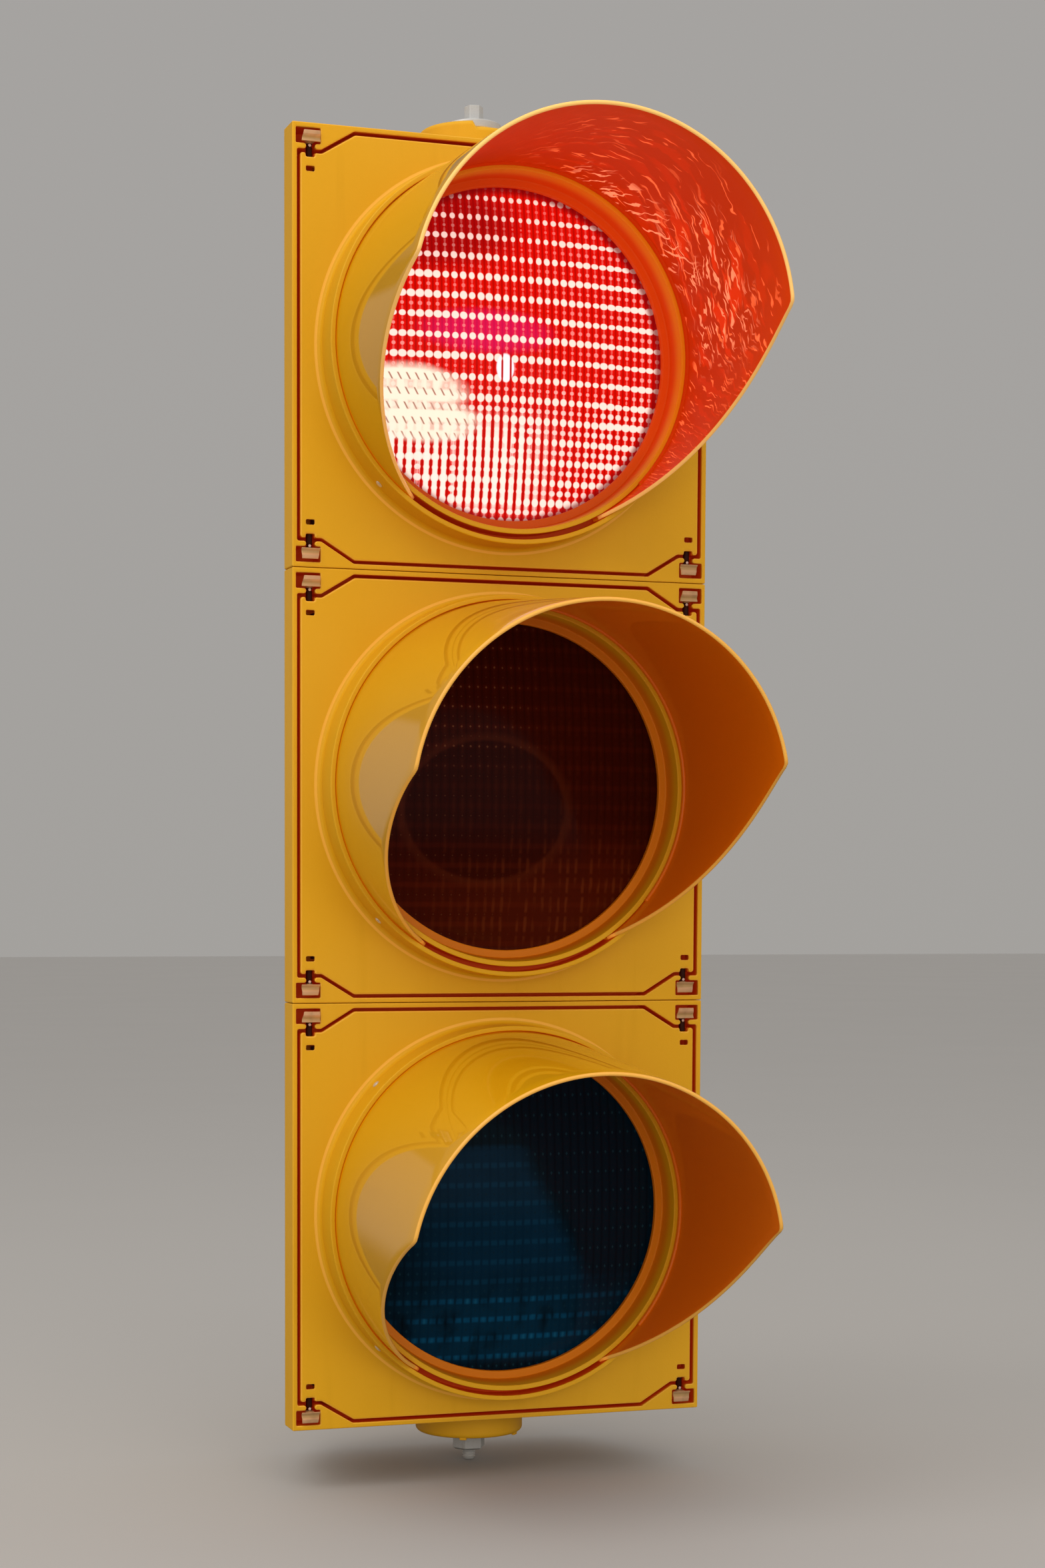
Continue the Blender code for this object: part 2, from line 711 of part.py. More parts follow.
def build_section(colour, index, meshes, materials):
    centre = empty("section_" + colour, (0, -FRONT_TO_AXIS, STACK_BOTTOM + (index + 0.5) * SECTION_PITCH))
    raised = (0, 0, RING_RISE)
    place("housing_" + colour, meshes["housing"], materials["yellow"], centre)
    place("reflector_holder_" + colour, meshes["reflector_holder"], materials["zinc"], centre, raised)
    place("reflector_" + colour, meshes["reflector"], materials["mirror"], centre, raised)
    place("lamp_socket_" + colour, meshes["lamp_socket"], materials["ceramic"], centre, raised)
    place("lamp_" + colour, meshes["lamp"], materials["glass"], centre, raised)

    axis = Vector((PIN_INSET - HALF_WIDTH, PIN_DEPTH, 0))
    hinge = empty("hinge_" + colour, axis, centre)
    on_ring = -axis + Vector(raised)
    place("door_" + colour, meshes["door"], materials["yellow"], hinge, -axis)
    place("door_gasket_" + colour, meshes["door_gasket"], materials["rubber"], hinge, -axis)
    place("lens_gasket_" + colour, meshes["lens_gasket"], materials["rubber"], hinge, on_ring)
    place("lens_" + colour, meshes["lens"], materials[colour], hinge, on_ring)
    place("lens_retainer_" + colour, meshes["lens_retainer"], materials["zinc"], hinge, on_ring)
    visor = visor_object("visor_" + colour, VISOR_TILT[colour], materials["gloss"])
    visor.parent = hinge
    visor.location = on_ring
    visor.rotation_euler = (0, VISOR_ROLL[colour], 0)

    for corner, side, up in CORNERS:
        spot = Vector((side * (HALF_WIDTH - PIN_INSET), PIN_DEPTH, up * HALF_PITCH))
        turn = (0, 0, 0) if up > 0 else (0, math.pi, 0)
        place(f"latch_{colour}_{corner}", meshes["latch"], materials["steel"], centre, spot, turn)


# What holds the sections together and closes the ends

def cap_mesh(height, up):
    """A closure cap whose flat side is against the housing, rounded round its outer edge."""
    outer = CAP_RADIUS - CAP_ROUNDING
    corner = [
        (outer + CAP_ROUNDING * math.sin(math.radians(a)),
         up * (height - CAP_ROUNDING * (1 - math.cos(math.radians(a)))))
        for a in (0, 30, 60, 90)
    ]
    profile = [(BORE_RADIUS, up * height)] + corner + [(CAP_RADIUS, 0), (BORE_RADIUS, 0)]
    return smoothed(plain("cap", turned(profile, axis="Z", steps=SMALL_STEPS)))


def ring_mesh(inner, outer, low, high):
    return smoothed(plain("ring", turned(
        ((inner, low), (outer, low), (outer, high), (inner, high)), axis="Z", steps=SMALL_STEPS)))


def top_bolt_mesh(shank):
    head = extruded(hexagon(HEAD_ACROSS_FLATS), 0, HEAD_HEIGHT, "Z")
    rod = turned(((0, -shank), (BOLT_RADIUS, -shank), (BOLT_RADIUS, MM), (0, MM)),
                 axis="Z", steps=PIN_STEPS, closed=False)
    return carved("top_bolt", head, ("UNION", rod))


def nut_mesh():
    block = extruded(hexagon(NUT_ACROSS_FLATS), -NUT_HEIGHT, 0, "Z")
    low = -2 * NUT_HEIGHT
    high = NUT_HEIGHT
    bore = turned(((0, low), (BORE_RADIUS, low), (BORE_RADIUS, high), (0, high)),
                  axis="Z", steps=PIN_STEPS, closed=False)
    return carved("bottom_nut", block, ("DIFFERENCE", bore))


def coupler_mesh():
    seat = WALL + 1.5 * GAP
    return smoothed(plain("coupler", turned((
        (COUPLER_BORE, -COUPLER_REACH),
        (COUPLER_BARREL, -COUPLER_REACH),
        (COUPLER_BARREL, seat),
        (COUPLER_FLANGE, seat),
        (COUPLER_FLANGE, seat + PLATE_THICKNESS),
        (COUPLER_BORE, seat + PLATE_THICKNESS),
    ), axis="Z", steps=SMALL_STEPS)))


def terminal_block_mesh():
    body = box((0, 0, 0), (TERMINAL_WIDTH, TERMINAL_DEPTH, TERMINAL_HEIGHT))
    starts = [TERMINAL_EDGE + i * TERMINAL_PITCH for i in range(TERMINAL_COUNT)]
    bays = joined(*(
        box((start, -MM, TERMINAL_HEIGHT / 2),
            (start + TERMINAL_BAY, TERMINAL_DEPTH / 2, TERMINAL_HEIGHT + MM))
        for start in starts
    ))
    return carved("terminal_block", body, ("DIFFERENCE", bays))


def wiring_loom(material):
    """A jacketed loom from the terminal block up through both couplers to the top lamp's section."""
    back = HOUSING_DEPTH - FRONT_TO_AXIS - LOOM_TO_BACK
    lower_seam = STACK_BOTTOM + SECTION_PITCH
    upper_seam = lower_seam + SECTION_PITCH
    route = (
        (LOOM_SIDE, back, STACK_BOTTOM + 24 * MM),
        (LOOM_SIDE, back, lower_seam - 60 * MM),
        (6 * MM, 4 * MM, lower_seam - 26 * MM),
        (0, 0, lower_seam),
        (6 * MM, 4 * MM, lower_seam + 26 * MM),
        (LOOM_SIDE, back, lower_seam + 70 * MM),
        (LOOM_SIDE, back, upper_seam - 70 * MM),
        (6 * MM, 4 * MM, upper_seam - 26 * MM),
        (0, 0, upper_seam),
        (6 * MM, 4 * MM, upper_seam + 26 * MM),
        (LOOM_SIDE, back, upper_seam + 70 * MM),
        (LOOM_SIDE, back, upper_seam + 110 * MM),
    )
    curve = bpy.data.curves.new("wiring_loom", "CURVE")
    curve.dimensions = "3D"
    curve.bevel_depth = LOOM_RADIUS
    curve.bevel_resolution = 1
    curve.resolution_u = 3
    curve.use_fill_caps = True
    spline = curve.splines.new("NURBS")
    spline.points.add(len(route) - 1)
    for point, spot in zip(spline.points, route):
        point.co = (*spot, 1.0)
    spline.order_u = 3
    spline.use_endpoint_u = True
    curve.materials.append(material)
    item = bpy.data.objects.new("wiring_loom", curve)
    bpy.context.scene.collection.objects.link(item)


def build_ends(materials):
    yellow = materials["yellow"]
    zinc = materials["zinc"]
    floor = STACK_BOTTOM + GAP / 2 + WALL + GAP
    ceiling = STACK_TOP - GAP / 2 - WALL - GAP
    place("top_hub_cap", cap_mesh(TOP_CAP_HEIGHT, 1), yellow, None, (0, 0, STACK_TOP + GAP / 2))
    washer_seat = STACK_TOP + TOP_CAP_HEIGHT + 1.5 * GAP
    place("top_washer", ring_mesh(BORE_RADIUS, WASHER_RADIUS, 0, WASHER_THICKNESS), zinc, None,
          (0, 0, washer_seat))
    head_seat = washer_seat + WASHER_THICKNESS + GAP
    shank = head_seat - ceiling + PLATE_THICKNESS + 8 * MM
    place("top_bolt", top_bolt_mesh(shank), zinc, None, (0, 0, head_seat))
    place("top_clamp_plate", ring_mesh(BORE_RADIUS, PLATE_RADIUS, -PLATE_THICKNESS, 0), zinc, None,
          (0, 0, ceiling))
    place("bottom_hub_cap", cap_mesh(BOTTOM_CAP_HEIGHT, -1), yellow, None, (0, 0, BOTTOM_CAP_HEIGHT))
    place("bottom_nut", nut_mesh(), zinc, None, (0, 0, -GAP))
    stud = turned(
        ((0, -STUD_BELOW_CAP), (BOLT_RADIUS, -STUD_BELOW_CAP), (BOLT_RADIUS, floor + STUD_ABOVE_WALL),
         (0, floor + STUD_ABOVE_WALL)),
        axis="Z", steps=PIN_STEPS, closed=False)
    place("bottom_stud", smoothed(plain("bottom_stud", stud)), zinc)
    place("bottom_clamp_plate", ring_mesh(BORE_RADIUS, PLATE_RADIUS, 0, PLATE_THICKNESS), zinc, None,
          (0, 0, floor))


def build_couplers(materials):
    coupler = coupler_mesh()
    seat = WALL + 1.5 * GAP
    lock_ring = ring_mesh(COUPLER_BARREL + GAP, COUPLER_FLANGE, -seat - PLATE_THICKNESS, -seat)
    for name, index in (("lower", 1), ("upper", 2)):
        seam = (0, 0, STACK_BOTTOM + index * SECTION_PITCH)
        place(name + "_coupler", coupler, materials["zinc"], None, seam)
        place(name + "_coupler_lock_ring", lock_ring, materials["zinc"], None, seam)


def build_wiring(materials):
    back = HOUSING_DEPTH - FRONT_TO_AXIS - WALL - GAP - TERMINAL_DEPTH
    floor = STACK_BOTTOM + GAP / 2 + WALL + GAP
    place("terminal_block", terminal_block_mesh(), materials["phenolic"], None,
          (-TERMINAL_WIDTH / 2, back, floor))
    wiring_loom(materials["cable"])


def main():
    clear_scene()
    materials = make_materials()
    meshes = {
        "housing": housing_mesh(),
        "door": door_mesh(),
        "door_gasket": door_gasket_mesh(),
        "lens": lens_mesh(),
        "lens_gasket": lens_gasket_mesh(),
        "lens_retainer": lens_retainer_mesh(),
        "reflector_holder": reflector_holder_mesh(),
        "reflector": reflector_mesh(),
        "lamp_socket": lamp_socket_mesh(),
        "lamp": lamp_mesh(),
        "latch": latch_mesh(),
    }
    for index, colour in enumerate(SECTIONS):
        build_section(colour, index, meshes, materials)
    build_ends(materials)
    build_couplers(materials)
    build_wiring(materials)


main()
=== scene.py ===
"""Looks for a three-section traffic signal head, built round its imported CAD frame."""

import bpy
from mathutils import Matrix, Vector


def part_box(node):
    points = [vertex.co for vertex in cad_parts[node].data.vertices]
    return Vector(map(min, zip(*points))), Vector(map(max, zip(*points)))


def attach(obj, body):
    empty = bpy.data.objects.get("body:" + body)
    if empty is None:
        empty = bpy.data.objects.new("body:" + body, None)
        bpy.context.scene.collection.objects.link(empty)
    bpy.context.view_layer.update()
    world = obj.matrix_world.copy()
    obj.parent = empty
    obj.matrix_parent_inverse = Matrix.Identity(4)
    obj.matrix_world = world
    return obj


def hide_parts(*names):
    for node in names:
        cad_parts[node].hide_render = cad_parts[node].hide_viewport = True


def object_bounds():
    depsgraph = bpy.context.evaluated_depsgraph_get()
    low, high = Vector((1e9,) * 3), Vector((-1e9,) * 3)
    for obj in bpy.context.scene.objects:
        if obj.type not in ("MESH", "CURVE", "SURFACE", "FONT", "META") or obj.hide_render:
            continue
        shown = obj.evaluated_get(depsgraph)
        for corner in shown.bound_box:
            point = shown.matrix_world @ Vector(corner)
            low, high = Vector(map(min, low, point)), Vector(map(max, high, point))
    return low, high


bl_info = {
    "name": "Traffic Signal Head",
    "version": (1, 0, 0),
    "blender": (4, 5, 0),
    "location": "3D View > Sidebar > Signal",
    "description": "Builds a traffic signal head's housings, doors, visors, lenses and fittings on its frame",
    "category": "Object",
}

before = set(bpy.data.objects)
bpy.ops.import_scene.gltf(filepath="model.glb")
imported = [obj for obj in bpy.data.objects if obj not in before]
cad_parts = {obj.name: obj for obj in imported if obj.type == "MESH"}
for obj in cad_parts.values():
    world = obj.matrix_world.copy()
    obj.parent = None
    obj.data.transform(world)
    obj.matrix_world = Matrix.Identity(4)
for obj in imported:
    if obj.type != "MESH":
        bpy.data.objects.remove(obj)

import math

import bmesh
import bpy
from mathutils import Matrix, Vector

CAD_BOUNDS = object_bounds()
MM = 0.001
COLOURS = ("green", "amber", "red")
CORNERS = (("top_left", -1, 1), ("top_right", 1, 1), ("bottom_left", -1, -1), ("bottom_right", 1, -1))
RING_STEPS = 144
VISOR_STEPS = 222
SMALL_STEPS = 64


# The frame's own places

def section_centre(colour):
    """The middle of a section on its front plane."""
    low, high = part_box("housing_" + colour)
    return Vector(((low.x + high.x) / 2, low.y, (low.z + high.z) / 2))


SECTION_LOW, SECTION_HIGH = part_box("housing_amber")
SECTION_WIDTH = SECTION_HIGH.x - SECTION_LOW.x
SECTION_HEIGHT = SECTION_HIGH.z - SECTION_LOW.z
HOUSING_DEPTH = SECTION_HIGH.y - SECTION_LOW.y
HALF_WIDTH = SECTION_WIDTH / 2
HALF_PITCH = (section_centre("amber").z - section_centre("green").z) / 2
SEAM_LEVEL = section_centre("amber").z - HALF_PITCH


# What a user may change

def size(name, description, millimetres):
    return bpy.props.FloatProperty(
        name=name, description=description, default=millimetres * MM, min=0.0, soft_max=0.5,
        subtype="DISTANCE", unit="LENGTH", precision=4)


def colour(name, description, value):
    return bpy.props.FloatVectorProperty(
        name=name, description=description, default=value, size=3, min=0.0, max=1.0, subtype="COLOR")


def amount(name, description, value, low=0.0, high=1.0):
    return bpy.props.FloatProperty(name=name, description=description, default=value, min=low, max=high)


def angle(name, description, degrees):
    return bpy.props.FloatProperty(
        name=name, description=description, default=math.radians(degrees), subtype="ANGLE", unit="ROTATION")


class SignalHousingSettings(bpy.types.PropertyGroup):
    """Sizes of a section's housing, measured in its front view."""
    lip: size("Lip", "Width of the lip round the door", 3.0)
    edge: size("Edge rounding", "Rounding of the outer front edges", 0.8)
    inner_edge: size("Inner rounding", "Rounding of the lip's and blocks' inner edges", 0.7)
    recess: size("Recess depth", "Depth of the recess that holds the door", 17.0)
    block_height: size("Block height", "Corner block, from the section's end", 15.1)
    block_width: size("Block width", "Straight part of a corner block, from the side", 17.4)
    block_reach: size("Block reach", "Where a corner block's slope meets the lip, from the side", 37.2)
    opening: size("Opening radius", "Radius of the opening behind the reflector holder", 108.0)
    pin_inset: size("Pin inset", "Corner pin's axis, from the side", 11.05)
    slot: size("Slot half width", "Half the width of a pin's slot", 2.65)
    pocket_side: size("Pocket side", "Pocket's outer wall, from the side", 2.3)
    pocket_inner: size("Pocket inner wall", "Pocket's inner wall, from the side", 17.0)
    pocket_top: size("Pocket top", "Pocket's near wall, from the section's end", 3.1)
    pocket_bottom: size("Pocket bottom", "Pocket's far wall, from the section's end", 12.1)
    flange: size("Flange depth", "Depth of the flange round the front", 20.0)
    body: size("Body half width", "Half the width behind the flange", 117.0)
    back: size("Back half width", "Half the width of the flat back", 92.0)
    straight: size("Straight depth", "Depth at which the sides begin to taper", 62.0)
    wall: size("Wall", "Thickness of the walls", 3.0)
    hub: size("Hub hole radius", "Radius of the holes in the ends", 25.4)


class SignalDoorSettings(bpy.types.PropertyGroup):
    """Sizes of a door and its raised ring."""
    seam: size("Seam", "Gap between the door and the housing", 2.0)
    edge: size("Edge rounding", "Rounding of the door's outer edge", 1.2)
    face: size("Face depth", "Door's face, behind the housing's front", 0.5)
    skirt: size("Skirt", "Thickness of the skirt behind the edge", 2.5)
    back: size("Back depth", "Back edge of the skirt", 9.5)
    notch: size("Notch end", "Inner end of the notch over a pin, from the section's end", 19.4)
    window: size("Window start", "Near edge of the small window, from the section's end", 24.6)
    window_end: size("Window end", "Far edge of the small window, from the section's end", 27.7)
    ring_rise: size("Ring rise", "Ring's centre above the section's", 1.2)
    ring_front: size("Ring height", "How far the ring stands in front of the housing", 23.0)
    ring_outer: size("Ring radius", "Outer radius of the ring", 112.4)
    foot: size("Ring foot radius", "Radius at which the ring's foot meets the plate", 116.5)
    groove_outer: size("Groove outer radius", "Outer wall of the visor's groove", 109.5)
    groove_inner: size("Groove inner radius", "Inner wall of the visor's groove", 106.4)
    groove_floor: size("Groove floor", "Groove's floor, in front of the housing's front", 10.0)
    throat: size("Throat radius", "Inner radius at the ring's front", 103.4)
    throat_back: size("Throat back radius", "Inner radius at the lens shelf", 101.7)
    shelf: size("Shelf front", "Lens shelf's face, in front of the housing's front", 8.0)
    shelf_back: size("Shelf back", "Lens shelf's back, in front of the housing's front", 4.7)
    shelf_inner: size("Shelf radius", "Inner radius of the lens shelf", 97.0)
    cup_inner: size("Cup inner radius", "Inside of the cup round the lens", 108.3)
    cup_outer: size("Cup outer radius", "Outside of the cup round the lens", 111.5)


class SignalVisorSettings(bpy.types.PropertyGroup):
    """Sizes of a cutaway visor."""
    outer: size("Outer radius", "Outside radius of the tube", 109.1)
    wall: size("Wall", "Thickness of the wall", 2.3)
    foot: size("Foot", "Back end of the tube, in front of the housing's front", 10.4)
    mouth: size("Ring front", "Where the tube leaves its groove", 23.0)
    reach: size("Reach", "Length from the housing's front to the crown's rim", 177.0)
    end_reach: size("End reach", "Reach at the two ends of the cut", 20.0)
    tip: angle("Tip", "Angle from the crown at which the rim turns back", 80.5)
    end: angle("End", "Angle from the crown at which the tube ends", 148.0)
    bow: size("Bow", "How far the cut bows inwards", 8.5)
    soften: size("Tip rounding", "Rounding of the two tips", 5.0)
    bead: size("Bead", "Height of the bead inside the foot", 1.3)


class SignalLensSettings(bpy.types.PropertyGroup):
    """Sizes of a lens and its prisms."""
    radius: size("Radius", "Outer radius of the lens", 106.4)
    clear: size("Clear radius", "Radius of the dome", 95.0)
    sag: size("Sag", "Height of the dome", 10.0)
    thickness: size("Thickness", "Thickness of the dome", 3.0)
    column: size("Prism width", "Width of one prism", 5.1)
    row: size("Prism height", "Height of one prism", 5.6)
    relief: size("Prism relief", "Depth of the prisms on the back", 0.7)


class SignalFinishSettings(bpy.types.PropertyGroup):
    """Colours of the finishes."""
    housing: colour("Housing", "Matt yellow of the housings and doors", (0.70, 0.352, 0.0035))
    visor: colour("Visor", "Glossy yellow of the visors", (0.66, 0.315, 0.0012))
    red: colour("Red lens", "Red of the lit lens", (0.66, 0.0035, 0.001))
    amber: colour("Amber lens", "Unlit amber lens", (0.020, 0.0016, 0.0004))
    green: colour("Green lens", "Unlit green lens", (0.0008, 0.0050, 0.0090))
    # Painted reflection: the steel's golden tone stands in for the yellow housing mirrored in it.
    tab: colour("Pin metal", "Stainless steel of the corner pins", (0.62, 0.37, 0.15))
    zinc: colour("Zinc", "Zinc plate of the nut, washers and bolt", (0.74, 0.72, 0.69))
    rubber: colour("Rubber", "Gaskets", (0.018, 0.018, 0.02))
    floor: colour("Floor", "Pale studio floor", (0.41, 0.395, 0.38))
    glow: amount("Lamp glow", "Brightness of the lit lens's points", 1.12, 0.0, 20.0)


# Shapes

def loop_of(shape, points):
    """A closed chain of edges through the points."""
    corners = [shape.verts.new(point) for point in points]
    return [shape.edges.new((corners[i - 1], corners[i])) for i in range(len(corners))]


def bridge(shape, loops):
    for first, second in zip(loops, loops[1:]):
        bmesh.ops.bridge_loops(shape, edges=first + second)


def fill(shape, *loops):
    edges = [edge for loop in loops for edge in loop]
    bmesh.ops.triangle_fill(shape, use_beauty=True, use_dissolve=False, edges=edges)


def face_outwards(shape):
    bmesh.ops.recalc_face_normals(shape, faces=shape.faces)
    if shape.calc_volume(signed=True) < 0:
        bmesh.ops.reverse_faces(shape, faces=shape.faces)
    return shape


def close_up(shape, distance=1e-6):
    bmesh.ops.remove_doubles(shape, verts=shape.verts, dist=distance)
    return face_outwards(shape)


def rounded(corners, radii, steps=5):
    """A polygon's outline as (point, outward normal) pairs, each corner turned to an arc. Counter-clockwise."""
    result = []
    count = len(corners)
    for i, corner in enumerate(corners):
        here = Vector(corner)
        before = Vector(corners[i - 1]) - here
        after = Vector(corners[(i + 1) % count]) - here
        radius = radii if isinstance(radii, float) else radii[i]
        first, second = before.normalized(), after.normalized()
        between = first.angle(second, 0.0)
        turn = math.pi - between
        cross = -first.x * second.y + first.y * second.x
        outward_in = Vector((-first.y, first.x))
        if turn < 1e-4:
            result.append((here, outward_in))
            continue
        tangent = min(radius * math.tan(turn / 2), before.length * 0.49, after.length * 0.49)
        radius = tangent / math.tan(turn / 2)
        middle = here + (first + second).normalized() * (radius / math.cos(turn / 2))
        sense = 1.0 if cross > 0 else -1.0
        start = (here + first * tangent) - middle
        for step in range(steps + 1):
            spoke = start.copy()
            spoke.rotate(Matrix.Rotation(sense * turn * step / steps, 2))
            result.append((middle + spoke, spoke.normalized() * sense))
    return result


def grown(outline, distance):
    return [point + normal * distance for point, normal in outline]


def frontal(points, depth, lift=0.0):
    """Points of a front view, at a depth."""
    return [Vector((point[0], depth, point[1] + lift)) for point in points]


def circle(radius, depth, lift=0.0, steps=RING_STEPS):
    return [
        Vector((radius * math.cos(math.tau * i / steps), depth, lift + radius * math.sin(math.tau * i / steps)))
        for i in range(steps)
    ]


def edge_steps(rounding, count=3):
    """(inset, depth) pairs of a quarter round, from the face to the side."""
    turns = [math.pi / 2 * i / count for i in range(count + 1)]
    return [(rounding * (1 - math.sin(turn)), rounding * (1 - math.cos(turn))) for turn in turns]


def softened(profile, radii, steps=4, closed=True):
    """A spin profile with its corners turned to arcs. Open profiles keep their two ends."""
    if closed:
        return [tuple(point) for point, _ in rounded(profile, radii, steps)]
    result = [tuple(profile[0])]
    for i in range(1, len(profile) - 1):
        here = Vector(profile[i])
        before, after = Vector(profile[i - 1]) - here, Vector(profile[i + 1]) - here
        radius = radii if isinstance(radii, float) else radii[i]
        turn = math.pi - before.angle(after, math.pi)
        if turn < 0.02 or radius <= 0:
            result.append(tuple(here))
            continue
        tangent = min(radius * math.tan(turn / 2), before.length * 0.49, after.length * 0.49)
        a, b = here + before.normalized() * tangent, here + after.normalized() * tangent
        for step in range(steps + 1):
            t = step / steps
            result.append(tuple(a * (1 - t) ** 2 + here * 2 * t * (1 - t) + b * t ** 2))
    result.append(tuple(profile[-1]))
    return result


def spun(profile, axis="Y", steps=RING_STEPS, closed=True):
    """(radius, along) points turned about Y or Z into a surface."""
    made = bmesh.new()
    if axis == "Y":
        chain = [made.verts.new((radius, along, 0)) for radius, along in profile]
        spindle = Vector((0, 1, 0))
    else:
        chain = [made.verts.new((radius, 0, along)) for radius, along in profile]
        spindle = Vector((0, 0, 1))
    edges = [made.edges.new(pair) for pair in zip(chain, chain[1:])]
    if closed:
        edges.append(made.edges.new((chain[-1], chain[0])))
    bmesh.ops.spin(made, geom=chain + edges, axis=spindle, cent=(0, 0, 0), angle=math.tau, steps=steps,
                   use_merge=True)
    return close_up(made)


def add_to(shape, other, place=None):
    """Adds another shape's surfaces to this one."""
    mesh = bpy.data.meshes.new("part")
    other.to_mesh(mesh)
    other.free()
    if place is not None:
        mesh.transform(place)
    shape.from_mesh(mesh)
    bpy.data.meshes.remove(mesh)
    return shape


def block(low, high, rounding=0.0, segments=3):
    """A box with rounded edges."""
    shape = bmesh.new()
    bmesh.ops.create_cube(shape, size=1.0)
    span = Vector(high) - Vector(low)
    bmesh.ops.scale(shape, verts=shape.verts, vec=span)
    bmesh.ops.translate(shape, verts=shape.verts, vec=(Vector(high) + Vector(low)) / 2)
    if rounding:
        bmesh.ops.bevel(shape, geom=list(shape.edges), offset=rounding, affect="EDGES", segments=segments,
                        profile=0.5, material=-1, clamp_overlap=True)
    bmesh.ops.recalc_face_normals(shape, faces=shape.faces)
    return shape


def prism(outline, low, high, rounding=0.0, axis="Z", segments=3):
    """An outline drawn out along an axis: (x, y) along Z, (x, z) along Y or (y, z) along X."""
    shape = bmesh.new()
    spots = {
        "Z": lambda u, v: (u, v, low),
        "Y": lambda u, v: (u, low, v),
        "X": lambda u, v: (low, u, v),
    }[axis]
    along = {"Z": Vector((0, 0, 1)), "Y": Vector((0, 1, 0)), "X": Vector((1, 0, 0))}[axis]
    base = shape.faces.new([shape.verts.new(spots(u, v)) for u, v in outline])
    drawn = bmesh.ops.extrude_face_region(shape, geom=[base])
    moved = [item for item in drawn["geom"] if isinstance(item, bmesh.types.BMVert)]
    bmesh.ops.translate(shape, verts=moved, vec=along * (high - low))
    bmesh.ops.recalc_face_normals(shape, faces=shape.faces)
    if rounding:
        ends = [face for face in shape.faces if abs(face.normal.dot(along)) > 0.99]
        rims = list({edge for face in ends for edge in face.edges})
        bmesh.ops.bevel(shape, geom=rims, offset=rounding, affect="EDGES", segments=segments, profile=0.5,
                        material=-1, clamp_overlap=True)
    return shape


def mirrored_corners(quarter):
    """An outline's top right corner, counter-clockwise, mirrored to all four corners."""
    right_top = list(quarter)
    left_top = [(-x, z) for x, z in reversed(right_top)]
    left_bottom = [(-x, -z) for x, z in right_top]
    right_bottom = [(x, -z) for x, z in reversed(right_top)]
    return right_top + left_top + left_bottom + right_bottom


def mirrored_radii(quarter):
    return quarter + quarter[::-1] + quarter + quarter[::-1]


# Finished pieces

def finish_piece(name, shape, material, body, replaces=(), place=None, sharp=35.0, even=False):
    """Makes a shape an object at the origin that rides on a body and takes a finish."""
    mesh = bpy.data.meshes.new(name)
    for face in shape.faces:
        face.smooth = True
    limit = math.radians(sharp)
    for edge in shape.edges:
        edge.smooth = len(edge.link_faces) != 2 or edge.calc_face_angle(math.pi) < limit
    shape.to_mesh(mesh)
    shape.free()
    if place is not None:
        mesh.transform(Matrix.Translation(place))
    mesh.materials.append(material)
    item = bpy.data.objects.new(name, mesh)
    bpy.context.scene.collection.objects.link(item)
    if even:
        weights = item.modifiers.new("even shading", "WEIGHTED_NORMAL")
        weights.mode = "FACE_AREA"
        weights.weight = 50
        weights.keep_sharp = True
    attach(item, body)
    if replaces:
        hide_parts(*replaces)
    return item


def door_body(colour):
    return "door_" + colour + "_body"


# Finishes

class Link:
    """A number inside a finish. Expressions on it add their own Math nodes."""

    def __init__(self, finish, socket):
        self.finish = finish
        self.socket = socket

    def _math(self, operation, *values):
        return self.finish.node("ShaderNodeMath", {"operation": operation}, dict(enumerate(values)))

    def __abs__(self):
        return self._math("ABSOLUTE", self)

    def least(self, other):
        return self._math("MINIMUM", self, other)

    def most(self, other):
        return self._math("MAXIMUM", self, other)

    def fold(self, reach):
        """Distance to the nearest even multiple of the reach."""
        return self._math("PINGPONG", self, reach)

    def rise(self, low, high):
        """A smooth step from 0 at low to 1 at high. Low may be the larger."""
        if low < high:
            return self.finish.node(
                "ShaderNodeMapRange", {"interpolation_type": "SMOOTHSTEP"},
                {"Value": self, "From Min": low, "From Max": high})
        return 1.0 - self.rise(high, low)


def link_operator(operation, reflected):
    if reflected:
        return lambda self, other: self._math(operation, other, self)
    return lambda self, other: self._math(operation, self, other)


for word, operation in (("add", "ADD"), ("sub", "SUBTRACT"), ("mul", "MULTIPLY"), ("truediv", "DIVIDE")):
    setattr(Link, f"__{word}__", link_operator(operation, False))
    setattr(Link, f"__r{word}__", link_operator(operation, True))


